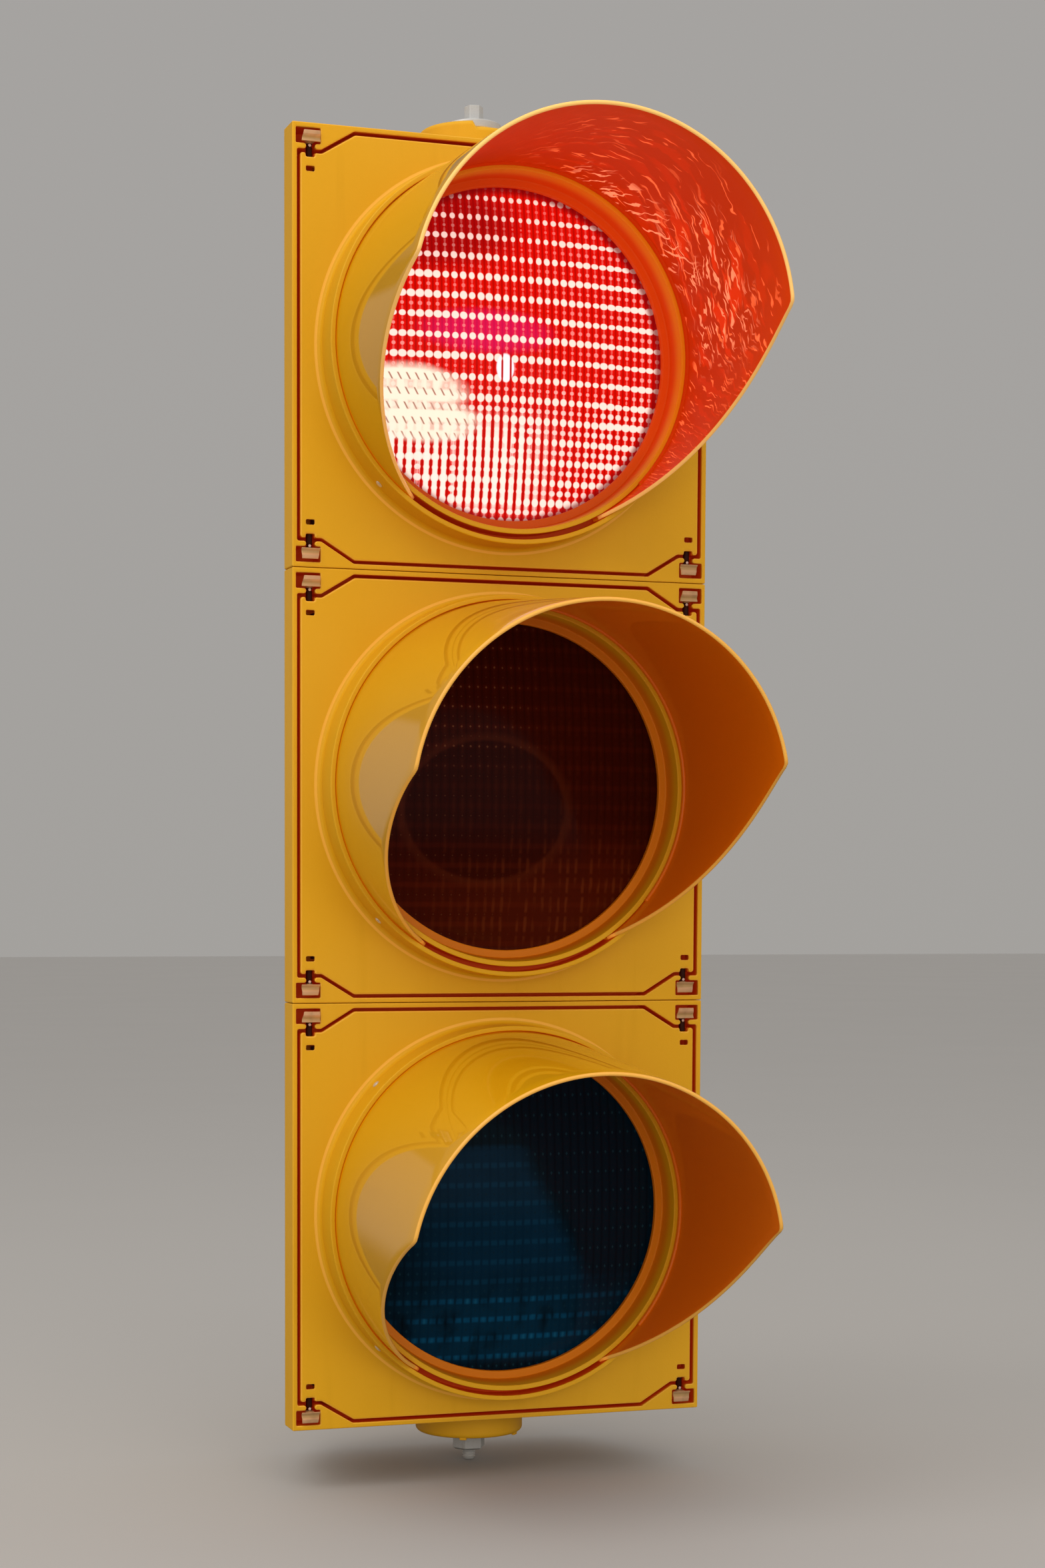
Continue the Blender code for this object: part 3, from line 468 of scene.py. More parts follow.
class Finish:
    """One material, built from nodes."""

    def __init__(self, name):
        self.material = bpy.data.materials.new(name)
        self.material.use_nodes = True
        self.tree = self.material.node_tree
        self.shader = self.tree.nodes["Principled BSDF"]
        self.coordinates = None

    def node(self, kind, settings=None, inputs=None, output=0):
        """Adds a node: its settings first, then the values or links of its sockets."""
        made = self.tree.nodes.new(kind)
        for name, value in (settings or {}).items():
            setattr(made, name, value)
        for name, value in (inputs or {}).items():
            self.feed(made.inputs[name], value)
        return Link(self, made.outputs[output])

    def feed(self, socket, value):
        if isinstance(value, Link):
            self.tree.links.new(value.socket, socket)
        elif socket.type == "RGBA" and len(value) == 3:
            socket.default_value = (*value, 1.0)
        else:
            socket.default_value = value

    def set(self, **values):
        for name, value in values.items():
            self.feed(self.shader.inputs[name.replace("_", " ")], value)

    def place(self):
        if self.coordinates is None:
            self.coordinates = self.node("ShaderNodeTexCoord", output="Object")
        return self.coordinates

    def local(self, centre=(0.0, 0.0, 0.0)):
        """x, y and z in millimetres from a place on the object."""
        moved = self.node("ShaderNodeVectorMath", {"operation": "SUBTRACT"}, {0: self.place(), 1: tuple(centre)})
        scaled = self.node("ShaderNodeVectorMath", {"operation": "SCALE"}, {0: moved, "Scale": 1000.0})
        return [self.node("ShaderNodeSeparateXYZ", {}, {0: scaled}, i) for i in range(3)]

    def point(self, x, y, z):
        return self.node("ShaderNodeCombineXYZ", {}, {0: x, 1: y, 2: z})

    def stretched(self, x, y, z):
        return self.node("ShaderNodeVectorMath", {"operation": "MULTIPLY"}, {0: self.place(), 1: (x, y, z)})

    def noise(self, scale, detail=2.0, vector=None):
        return self.node("ShaderNodeTexNoise", {}, {
            "Vector": vector or self.place(), "Scale": scale, "Detail": detail})

    def cells(self, scale):
        return self.node("ShaderNodeTexVoronoi", {}, {"Vector": self.place(), "Scale": scale}, "Distance")

    def attribute(self, name):
        return self.node("ShaderNodeAttribute", {"attribute_name": name}, output="Fac")

    def mix(self, factor, first, second):
        return self.node(
            "ShaderNodeMix", {"data_type": "RGBA", "clamp_factor": True}, {0: factor, 6: first, 7: second}, 2)

    def bump(self, height, distance, strength=1.0, onto=None):
        inputs = {"Strength": strength, "Distance": distance, "Height": height}
        if onto is not None:
            inputs["Normal"] = onto
        return self.node("ShaderNodeBump", {}, inputs)


def darker(tone, share):
    return tuple(channel * share for channel in tone)


def blended(first, second, share):
    return tuple(a + (b - a) * share for a, b in zip(first, second))


def matt_yellow(tone, lit=False):
    """Moulded polycarbonate with a fine spark grain, a little chalky outside, with deep orange painted shade and a
    faint painted glow down in its gaps, an orange painted shade in the ring's throat, a paler painted highlight on
    its rounded front edges, and, in red light, a red painted glow from the lens on the ring.
    """
    finish = Finish("matt yellow polycarbonate in red light" if lit else "matt yellow polycarbonate")
    cloud = finish.noise(7.0, 3.0)
    streak = finish.noise(1.0, 4.0, finish.stretched(90.0, 40.0, 7.0))
    grain = finish.noise(1700.0, 2.0)
    pits = finish.cells(850.0)
    faded = finish.mix(cloud.rise(0.42, 0.72) * 0.30, tone, blended(tone, (0.76, 0.42, 0.05), 0.40))
    grimy = finish.mix(streak.rise(0.55, 0.80) * 0.20, faded, darker(tone, 0.78))
    speckled = finish.mix(grain.rise(0.60, 0.80) * 0.14, grimy, darker(tone, 0.82))
    side, depth, level = finish.local((0.0, SECTION_LOW.y, SEAM_LEVEL))
    end = level.fold(HALF_PITCH / MM)
    across = abs(side)
    # Painted shade: the recess walls down in the seam round the door and the visor's groove in the ring turn deep
    # orange, with a faint orange painted glow.
    gap = depth.rise(0.9, 2.6) * depth.rise(18.5, 17.4) * across.rise(HALF_WIDTH / MM - 1.5, HALF_WIDTH / MM - 2.2)
    gap = gap * end.rise(1.4, 2.2) * end.rise(27.5, 21.0).most(across.rise(118.0, 121.0))
    up = finish.node("ShaderNodeMath", {"operation": "FLOORED_MODULO"}, {0: level, 1: 2 * HALF_PITCH / MM})
    up = up - (HALF_PITCH / MM + 1.2)
    ring = finish.node("ShaderNodeMath", {"operation": "SQRT"}, {0: side * side + up * up})
    groove = ring.rise(105.9, 106.5) * ring.rise(110.0, 109.4) * depth.rise(-22.8, -21.6) * depth.rise(-8.0, -9.0)
    # Painted shade: the ring's throat behind the visor is turned deeper orange, redder on the door in red light.
    throat = ring.rise(104.6, 103.2) * depth.rise(-21.0, -12.0) * depth.rise(-4.0, -5.5)
    # Painted highlight: the rounded front edges of the housing's lip and of the door are paler.
    lips = depth.rise(0.03, 0.14) * depth.rise(0.48, 0.40) + depth.rise(0.55, 0.70) * depth.rise(1.3, 0.9)
    lips = lips * across.rise(HALF_WIDTH / MM - 0.2, HALF_WIDTH / MM - 0.6) * end.rise(0.2, 0.8)
    toned = finish.mix(lips * 0.75, speckled, (0.90, 0.46, 0.06))
    toned = finish.mix(throat * 0.85, toned, (0.60, 0.050, 0.0) if lit else (0.66, 0.165, 0.0))
    finish.set(Base_Color=finish.mix(gap.most(groove) * 0.92, toned, (0.50, 0.045, 0.0)))
    glow = finish.mix(gap.most(groove), (0.0, 0.0, 0.0), (0.060, 0.0015, 0.0))
    if lit:
        # Painted light: the red lens's light glows red on the ring's inside in front of the door, stronger to the
        # right and fading towards the bottom.
        near = ring.rise(106.2, 105.2) * depth.rise(-3.0, -5.0) * up.rise(-96.0, -30.0)
        near = near * (0.45 + 0.55 * side.rise(-60.0, 50.0))
        glow = finish.mix(near, glow, (0.20, 0.005, 0.0))
    finish.set(Emission_Color=glow)
    finish.set(Emission_Strength=1.0)
    finish.set(Roughness=0.46 + 0.12 * cloud + 0.08 * streak.rise(0.5, 0.8))
    wave = finish.bump(finish.noise(34.0, 1.0), 0.0012, 0.08)
    finish.set(Normal=finish.bump(grain * 0.6 + pits.rise(0.0, 0.6) * 0.4, 0.00008, 0.55, wave))
    finish.set(Specular_IOR_Level=0.30)
    return finish.material


def gloss_yellow(name, tone, inner=(0.66, 0.125, 0.0), edge=(0.84, 0.42, 0.07)):
    """Drape-formed visor sheet: glossy and faintly wavy outside, deep orange painted shade inside where it only
    lights itself, with a faint painted glow there, a paler painted highlight along the rolled rim, and a painted
    orange glow where it sits in the ring's groove.
    """
    finish = Finish(name)
    cloud = finish.noise(6.0, 2.0)
    streak = finish.noise(1.0, 4.0, finish.stretched(45.0, 8.0, 45.0))
    dust = finish.noise(900.0, 2.0)
    inside = finish.attribute("inside")
    faded = finish.mix(cloud.rise(0.40, 0.75) * 0.25, tone, blended(tone, (0.76, 0.42, 0.03), 0.40))
    grimy = finish.mix(streak.rise(0.58, 0.82) * 0.16, faded, darker(tone, 0.78))
    rim = finish.attribute("rim")
    # Painted shade: the inside is turned deep orange where the sheet only lights itself.
    sheet = finish.mix(inside * 0.94, grimy, inner)
    # Painted highlight: the rolled rim is paler, and glows faintly in the emission below.
    finish.set(Base_Color=finish.mix(rim, sheet, edge))
    finish.set(Roughness=0.30 + 0.10 * cloud + 0.10 * dust.rise(0.6, 0.8))
    # Painted light: a faint orange glow inside.
    glow = finish.mix(inside, (0.0, 0.0, 0.0), (0.050, 0.0060, 0.0))
    out = finish.attribute("out")
    # Painted light: an orange glow on the outside where the sheet sits in the ring's groove, standing in for light
    # bouncing in the gap.
    seat = out.rise(0.22, 0.02) * (1.0 - inside)
    finish.set(Emission_Color=finish.mix(seat, finish.mix(rim, glow, (0.030, 0.012, 0.001)), (0.20, 0.050, 0.0)))
    finish.set(Emission_Strength=1.0)
    wave = finish.bump(finish.noise(1.0, 1.0, finish.stretched(22.0, 10.0, 22.0)), 0.0016, 0.14)
    finish.set(Normal=finish.bump(finish.noise(700.0, 1.0), 0.00003, 0.12, wave))
    finish.set(Specular_IOR_Level=0.25)
    finish.set(Coat_Weight=0.8 - 0.55 * inside)
    finish.set(Coat_Roughness=0.02)
    return finish


def metal(name, tone, rough, stain=(0.30, 0.20, 0.12)):
    """Plated steel with a blasted grain, and stains where water dries."""
    finish = Finish(name)
    drawn = finish.noise(900.0)
    blotch = finish.noise(120.0, 3.0)
    toned = finish.mix(blotch.rise(0.52, 0.74) * 0.25, tone, stain)
    finish.set(Base_Color=finish.mix(drawn.rise(0.45, 0.75) * 0.25, toned, darker(tone, 0.78)))
    finish.set(Roughness=rough + 0.18 * blotch.rise(0.4, 0.75) + 0.05 * drawn)
    finish.set(Normal=finish.bump(drawn, 0.00004, 0.35))
    finish.set(Metallic=0.65)
    return finish.material


def latch_steel(tone):
    """Pressed steel, its golden tone a painted reflection of the yellow round it, with a painted highlight on the
    tab's front lips, duller in its scoop and on its lower lip, and painted shadow on the pin where it lies in its
    slot, save a painted highlight dot on its front.
    """
    finish = Finish("stainless steel")
    _, depth, level = finish.local((0.0, SECTION_LOW.y, SEAM_LEVEL))
    end = level.fold(HALF_PITCH / MM)
    blotch = finish.noise(150.0, 3.0)
    drawn = finish.noise(900.0, 2.0, finish.stretched(1.0, 1.0, 0.2))
    # Painted highlight: the tab's front-most lips are brighter; its lower part is pulled back towards the plain tone
    # as painted shade.
    toned = finish.mix(depth.rise(-1.4, -0.7), blended(tone, (0.82, 0.46, 0.25), 0.75), tone)
    toned = finish.mix(end.rise(9.3, 10.2) * 0.5, toned, (0.62, 0.38, 0.19))
    toned = finish.mix(blotch.rise(0.5, 0.75) * 0.30, toned, darker(tone, 0.45))
    # Painted shadow: the stem and pin below the tab are near black, save a painted highlight dot on the front of the
    # knob.
    slot = end.rise(11.25, 11.7)
    toned = finish.mix(slot, toned, (0.040, 0.006, 0.002))
    toned = finish.mix(slot * depth.rise(2.56, 2.46), toned, (0.90, 0.66, 0.58))
    finish.set(Base_Color=toned, Roughness=0.34 + 0.18 * blotch)
    finish.set(Normal=finish.bump(drawn, 0.00004, 0.35))
    finish.set(Metallic=0.45)
    return finish.material


def rubber(tone):
    finish = Finish("black rubber")
    bloom = finish.noise(60.0, 3.0)
    pebble = finish.cells(900.0)
    finish.set(Base_Color=finish.mix(bloom.rise(0.5, 0.78) * 0.5, tone, (0.06, 0.058, 0.055)))
    finish.set(Roughness=0.62 + 0.2 * bloom)
    finish.set(Normal=finish.bump(pebble, 0.00005, 0.4))
    return finish.material


def mirror():
    finish = Finish("bright aluminium")
    turned = finish.noise(1.0, 2.0, finish.stretched(260.0, 260.0, 260.0))
    haze = finish.noise(30.0, 2.0)
    finish.set(Base_Color=finish.mix(haze.rise(0.5, 0.8) * 0.4, (0.90, 0.90, 0.91), (0.74, 0.74, 0.75)))
    finish.set(Roughness=0.07 + 0.10 * haze)
    finish.set(Normal=finish.bump(turned, 0.00002, 0.25))
    finish.set(Metallic=1.0)
    return finish.material


def lamp_glass(lit):
    """Frosted inside; the lit one shines from its middle."""
    finish = Finish("lit lamp glass" if lit else "lamp glass")
    frost = finish.noise(400.0, 2.0)
    finish.set(Base_Color=finish.mix(frost, (0.84, 0.83, 0.80), (0.76, 0.75, 0.71)))
    finish.set(Roughness=0.16 + 0.12 * frost)
    finish.set(Normal=finish.bump(frost, 0.00002, 0.3))
    finish.set(Subsurface_Weight=0.2)
    finish.set(Subsurface_Radius=(0.01, 0.01, 0.01))
    if lit:
        finish.set(Emission_Color=finish.mix(frost, (1.0, 0.72, 0.40), (1.0, 0.60, 0.28)))
        finish.set(Emission_Strength=1.1)
    return finish.material


def plain_moulding(name, tone, rough, grain=600.0, fleck=0.8):
    """Ceramic, phenolic or cable jacket: one tone with its own grain."""
    finish = Finish(name)
    fine = finish.noise(grain, 3.0)
    broad = finish.noise(25.0, 2.0)
    finish.set(Base_Color=finish.mix(fine.rise(0.45, 0.75), tone, darker(tone, fleck)))
    finish.set(Roughness=rough + 0.12 * broad)
    finish.set(Normal=finish.bump(fine, 0.00004, 0.3))
    return finish.material


# Half the pitch of a lens's columns and rows, and where its columns start, in millimetres
HALF_COLUMN = 2.6
HALF_ROW = 5.85
FIRST_COLUMN = 2.2


def lens_base(name, centre):
    """Local places on a lens, with its finish."""
    finish = Finish(name)
    x, _, z = finish.local(centre)
    finish.set(Roughness=0.14)
    finish.set(Specular_IOR_Level=0.10)
    return finish, x, z


def spot(x, z, at_x, at_z, wide, tall):
    """Squared distance from a place, 1 at the edge of an ellipse."""
    dx = (x - at_x) / wide
    dz = (z - at_z) / tall
    return dx * dx + dz * dz


def red_lens(centre, tone, glow):
    """Lit: every prism shows the lamp as a white point, and the lamp fills the lower left."""
    finish, x, z = lens_base("lit red lens", centre)
    u = (x - FIRST_COLUMN).fold(HALF_COLUMN)
    v = (z - 8.5).fold(HALF_ROW)
    w = HALF_ROW - v
    jitter = finish.noise(75.0, 2.0) - 0.5
    slow = finish.noise(16.0, 2.0) - 0.5
    high = z.rise(40.0, 100.0)
    low = z.rise(-6.0, -40.0)
    right = x.rise(14.0, 74.0)
    left = x.rise(-20.0, -62.0)
    size_x = 1.85 + 0.75 * right.most(left * 0.8) - 0.45 * high + 1.9 * jitter + 1.1 * slow
    size_z = 2.10 - 0.35 * right - 0.55 * high + 1.9 * jitter + 0.3 * low

    def blob(across, upright, wide, tall, soft=0.28):
        dx, dz = across / wide, upright / tall
        return (dx * dx + dz * dz).rise(1.0 + soft, 1.0 - soft)

    dots = blob(u, v, size_x, size_z)
    grow = low.most(right * 0.45).most(left * 0.3 * z.rise(60.0, 10.0))
    small = blob(u, w, 0.90 + 0.85 * grow + 1.3 * jitter, 0.95 + 0.65 * grow + 1.2 * jitter, 0.4)
    drips = blob(u, (v - 3.0), 0.62, 1.7 + 2.0 * jitter, 0.5) * (0.25 + 0.75 * low)
    run = finish.noise(1.0, 2.0, finish.stretched(190.0, 1.0, 22.0))
    lower_left = z.rise(-30.0, -48.0) * x.rise(34.0, 2.0) * z.rise(-95.0, -84.0)
    streaks = u.rise(1.75, 1.15) * lower_left * run.rise(0.30, 0.46)
    pool = spot(x, z, -64.0, -24.0, 38.0, 15.0).least(spot(x, z, -52.0, -40.0, 30.0, 14.0)) + 1.2 * slow
    lean = (x + z * 0.55 - FIRST_COLUMN).fold(HALF_COLUMN)
    ticks = lean.rise(0.75, 0.30) * (z + 24.5).fold(4.2).rise(2.5, 1.6)
    wash = pool.rise(1.35, 0.55) * (0.62 + 0.38 * v.rise(4.4, 2.6).most(run.rise(0.40, 0.60)))
    lamp = blob(abs(x + 3.7), abs(z + 8.5), 5.4, 8.0, 0.2) * u.rise(2.3, 1.6)
    cast = spot(x, z, -15.0, 12.0, 38.0, 12.5).rise(1.5, 0.3) * 0.50
    shade = spot(x, z, -52.0, 74.0, 62.0, 30.0).rise(1.25, 0.25)
    rim = spot(x, z, 0.0, 0.0, 97.0, 97.0).rise(0.90, 0.995)
    body = finish.mix(u.rise(1.5, 2.5) * 0.75, tone, darker(tone, 0.33))
    body = finish.mix((v - 1.2).rise(0.6, 2.6) * w.rise(0.4, 2.0) * 0.35, body, darker(tone, 0.6))
    body = finish.mix(shade * 0.7, body, (0.13, 0.001, 0.002))
    body = finish.mix(cast, body, (0.62, 0.008, 0.125))
    body = finish.mix(drips * (1.0 - 0.6 * high), body, (0.95, 0.30, 0.26))
    body = finish.mix(small * (0.30 + 0.70 * grow) * (1.0 - 0.4 * high), body, (0.97, 0.52, 0.46))
    body = finish.mix(small * low * (0.35 + 0.65 * jitter.rise(-0.05, 0.08)), body, (0.95, 0.74, 0.64))
    points = finish.mix(shade * 0.35, (0.94, 0.78, 0.66), (0.80, 0.42, 0.40))
    body = finish.mix(dots * (0.99 - 0.20 * high), body, points)
    body = finish.mix(streaks * 0.95, body, (0.95, 0.84, 0.72))
    body = finish.mix(wash, body, (0.93, 0.85, 0.66))
    body = finish.mix(wash * ticks * 0.85, body, (0.20, 0.085, 0.05))
    body = finish.mix(lamp, body, (0.93, 0.90, 0.97))
    body = finish.mix(rim * 0.85, body, (0.10, 0.001, 0.002))
    finish.set(Base_Color=finish.mix(dots * 0.3, darker(tone, 0.3), (0.35, 0.05, 0.05)), Emission_Color=body)
    finish.set(Emission_Strength=glow)
    finish.set(Normal=finish.bump(dots, 0.0001, 0.15))
    return finish.material


def amber_lens(centre, tone):
    """Unlit amber: almost black, with the far wall of the prisms picked out in rows by painted glints, painted light
    in its lower part, a painted reflection of the reflector bowl behind, and a faint painted glow all over.
    """
    finish, x, z = lens_base("amber lens", centre)
    wobble = finish.noise(120.0, 2.0) - 0.5
    u = (x - FIRST_COLUMN + 1.2 * wobble).fold(HALF_COLUMN)
    v = (z - 0.3 + wobble).fold(HALF_ROW)
    w = HALF_ROW - v
    run = finish.noise(1.0, 2.0, finish.stretched(150.0, 1.0, 45.0))
    shell = spot(x, z, -14.0, -14.0, 50.0, 42.0)
    low = z.rise(-12.0, -72.0)
    dots = (u / 0.85 + v / 0.95).rise(1.1, 0.5) * x.rise(34.0, -22.0) * z.rise(0.0, 30.0)
    faint = (u / 0.7 + w / 0.7).rise(1.1, 0.5) * x.rise(30.0, -40.0) * 0.4
    waves = u.rise(1.5, 0.3) * w.rise(0.4, 2.2) * run.rise(0.38, 0.62)
    bands = v.rise(2.2, 0.8)
    mesh = finish.mix(bands * 0.30, tone, darker(tone, 1.9))
    mesh = finish.mix(u.rise(1.7, 2.5) * 0.45, mesh, darker(tone, 0.45))
    # Painted light: the lower part is lighter, more so to the right, with lighter rows.
    warm = finish.mix(low * (0.55 + 0.45 * x.rise(-60.0, 30.0)), mesh, (0.042, 0.0038, 0.0005))
    # Painted reflection: the reflector bowl behind shows as a darker disc with a paler outline.
    warm = finish.mix(shell.rise(1.08, 0.86) * 0.45, warm, darker(tone, 0.50))
    warm = finish.mix(shell.rise(1.30, 1.04) * shell.rise(0.92, 1.02) * 0.35, warm, (0.055, 0.009, 0.002))
    warm = finish.mix(bands * low * 0.35, warm, (0.060, 0.006, 0.001))
    # Painted highlights: streaks down the prisms, mostly low and to the right, and glints in rows towards the upper
    # left.
    warm = finish.mix(waves * (0.06 + 0.40 * low * x.rise(-70.0, 30.0)), warm, (0.11, 0.020, 0.004))
    warm = finish.mix((dots + faint).least(1.0) * 0.35, warm, (0.20, 0.075, 0.030))
    # Painted light: the unlit lens glows faintly in these colours.
    finish.set(Base_Color=warm, Emission_Color=warm)
    finish.set(Emission_Strength=0.30)
    finish.set(Normal=finish.bump(dots + waves, 0.0001, 0.2))
    return finish.material


def green_lens(centre, tone):
    """Unlit blue-green: black, with the reflector and the sky showing blue through the prisms."""
    finish, x, z = lens_base("green lens", centre)
    wobble = finish.noise(120.0, 2.0) - 0.5
    u = (x - FIRST_COLUMN + 1.2 * wobble).fold(HALF_COLUMN)
    v = (z - 51.7 + wobble).fold(HALF_ROW)
    w = HALF_ROW - v
    run = finish.noise(1.0, 3.0, finish.stretched(70.0, 1.0, 40.0))
    lean = x + 0.55 * z.least(30.0) - 16.5
    upper = z.rise(42.0, 36.0) * x.rise(-78.0, -30.0) * lean.rise(20.0, 4.0) * z.rise(-60.0, -30.0)
    round_off = spot(x, z, -8.0, 4.0, 46.0, 38.0).rise(1.12, 0.92).most(z.rise(8.0, -4.0))
    upper = upper * round_off
    lower = z.rise(-36.0, -62.0) * (0.35 + 0.65 * x.rise(74.0, 20.0)) * x.rise(-86.0, -40.0) * z.rise(-95.0, -86.0)
    rows = v.rise(2.3, 0.7)
    cells = u.rise(2.5, 1.3)
    ticks = (u / 0.9 + w / 1.3).rise(1.1, 0.5)
    deep = finish.mix((1.0 - cells) * 0.5, tone, darker(tone, 0.35))
    deep = finish.mix(ticks * 0.30, deep, (0.010, 0.045, 0.060))
    deep = finish.mix(upper * (0.16 + 0.26 * run), deep, (0.0018, 0.028, 0.066))
    deep = finish.mix(upper * rows * cells * 0.22, deep, (0.004, 0.045, 0.090))
    deep = finish.mix(lower * (0.25 + 0.55 * cells * rows) * run.rise(0.28, 0.55), deep, (0.0015, 0.040, 0.088))
    deep = finish.mix(lower * rows * u.rise(1.2, 0.3) * run.rise(0.50, 0.66) * 0.4, deep, (0.008, 0.080, 0.14))
    deep = finish.mix((upper + lower).least(1.0) * ticks * 0.6, deep, (0.001, 0.004, 0.010))
    # Painted light: the unlit lens glows faintly in these colours.
    finish.set(Base_Color=deep, Emission_Color=deep)
    finish.set(Emission_Strength=0.30)
    finish.set(Normal=finish.bump(rows * cells, 0.0001, 0.2))
    return finish.material


def lit_visor(tone):
    """The red section's visor: the lit lens throws short curved streaks on its inside."""
    # The inside's painted shade is a deeper red here and the rim's painted highlight paler.
    finish = gloss_yellow("glossy yellow polycarbonate in red light", tone, (0.52, 0.036, 0.0), (0.92, 0.56, 0.17))
    finish.set(Specular_IOR_Level=0.05)
    inside = finish.attribute("inside")
    rim = finish.attribute("rim")
    turn = finish.attribute("round")
    out = finish.attribute("out")
    q = turn - 13.3
    ripple = finish.noise(0.7, 2.0, finish.point(turn, out, 0.0)) - 0.5
    swing = out - q * q * (0.11 + 0.008 * q) + ripple * 2.2
    fan = turn * 1.25 - out * 0.55 + ripple * 1.6

    def strokes(across, fine, long, layer, low, high):
        grain = finish.noise(1.0, 1.0, finish.point(across * fine, (turn + out * 0.6) * long, layer))
        return grain.rise(low, high)

    broad = finish.noise(0.36, 1.0, finish.point(turn, out, 7.0))
    reach = out.rise(0.1, 0.7) * out.rise(15.6, 12.5)
    side = 0.10 + 0.90 * turn.rise(-3.5, 3.0)
    finish.set(Coat_Weight=0.8 - 0.8 * inside)
    dense = turn.rise(6.5, 11.0) * turn.rise(18.5, 15.5) * out.rise(1.0, 3.0) * out.rise(12.0, 8.0)
    sweep = strokes(swing, 2.6, 0.55, 0.0, 0.615, 0.655) * (0.35 + 0.65 * broad.rise(0.40, 0.55))
    close = strokes(swing, 3.6, 0.75, 4.0, 0.585, 0.635) * dense
    near = (strokes(fan, 2.8, 0.45, 9.0, 0.595, 0.64)
            * turn.rise(1.5, 4.0) * turn.rise(13.5, 10.0) * out.rise(5.4, 3.2))
    blush = strokes(swing, 0.9, 0.30, 12.0, 0.52, 0.64) * (0.30 + 0.70 * dense)
    dim = turn.rise(1.0, -8.0) * out.rise(8.0, 1.5)
    light = finish.mix(dim, (0.185, 0.0050, 0.0), (0.050, 0.0010, 0.0))
    light = finish.mix(blush * reach * side * 0.65, light, (0.62, 0.016, 0.0))
    light = finish.mix(sweep * reach * side * 0.85, light, (0.90, 0.15, 0.045))
    light = finish.mix((close.most(near)) * reach * side * 0.9, light, (0.95, 0.29, 0.14))
    lit = finish.mix(inside, (0.0, 0.0, 0.0), light)
    # Painted light: an orange glow where the sheet sits in the ring's groove.
    seat = out.rise(0.22, 0.02) * (1.0 - inside)
    # Painted highlight: the rim glows faintly here too.
    finish.set(Emission_Color=finish.mix(seat, finish.mix(rim, lit, (0.14, 0.055, 0.014)), (0.22, 0.045, 0.0)))
    return finish.material


def finish_of(name, make):
    """A finish that several pieces share is made once."""
    return bpy.data.materials.get(name) or make()


def yellow_moulding():
    tone = tuple(bpy.context.scene.signal_finish.housing)
    return finish_of("matt yellow polycarbonate", lambda: matt_yellow(tone))


def zinc_plate():
    tone = tuple(bpy.context.scene.signal_finish.zinc)
    return finish_of("zinc plate", lambda: metal("zinc plate", tone, 0.30))


def black_rubber():
    tone = tuple(bpy.context.scene.signal_finish.rubber)
    return finish_of("black rubber", lambda: rubber(tone))


# Pieces

BORE = 4.4 * MM
# The upper cap's stepped part: where it starts, how far it drops, and the sector it fills
STEP_RADIUS = 17.5 * MM
STEP_DROP = 3.6 * MM
STEP_DEGREES = (255, 350)
# The lower cap's nicks
NICK_DEGREES = (246, 318)
STUD_RADIUS = 4 * MM
BOLT_ACROSS = 10 * MM
NUT_ACROSS = 18 * MM
NUT_BORE = 4.3 * MM
PIN_DEPTH = 4.5 * MM
BOWL_MOUTH = 95 * MM
BOWL_NECK = 22 * MM
BOWL_END = 84 * MM
BULB_RADIUS = 30 * MM
BULB_MIDDLE = 50 * MM


def cornered(housing, inset):
    """The recess's top right corner, made smaller by an inset: distances from the side and from the end."""
    run, fall = housing.block_reach - housing.block_width, housing.block_height - housing.lip
    slope = math.hypot(run, fall)
    shift = inset * (1 - run / slope) / (fall / slope)
    return (
        (housing.lip + inset, housing.block_height + inset),
        (housing.block_width + shift, housing.block_height + inset),
        (housing.block_reach + shift, housing.lip + inset),
    )


def from_corner(pairs):
    return [(HALF_WIDTH - side, HALF_PITCH - end) for side, end in pairs]


def opened(shape, depth, *holes):
    """Swaps the flat wall at a depth for one with holes in it."""
    wall = [face for face in shape.faces if all(abs(corner.co.y - depth) < 1e-6 for corner in face.verts)]
    edges = list({edge for face in wall for edge in face.edges})
    bmesh.ops.delete(shape, geom=wall, context="FACES_ONLY")
    fill(shape, edges, *holes)


def slot_edges(h):
    """Near and far edge of a pin's slot, from the side."""
    return h.pin_inset - h.slot, h.pin_inset + h.slot


def rising(points, level):
    return [Vector((point[0], point[1], level)) for point in points]


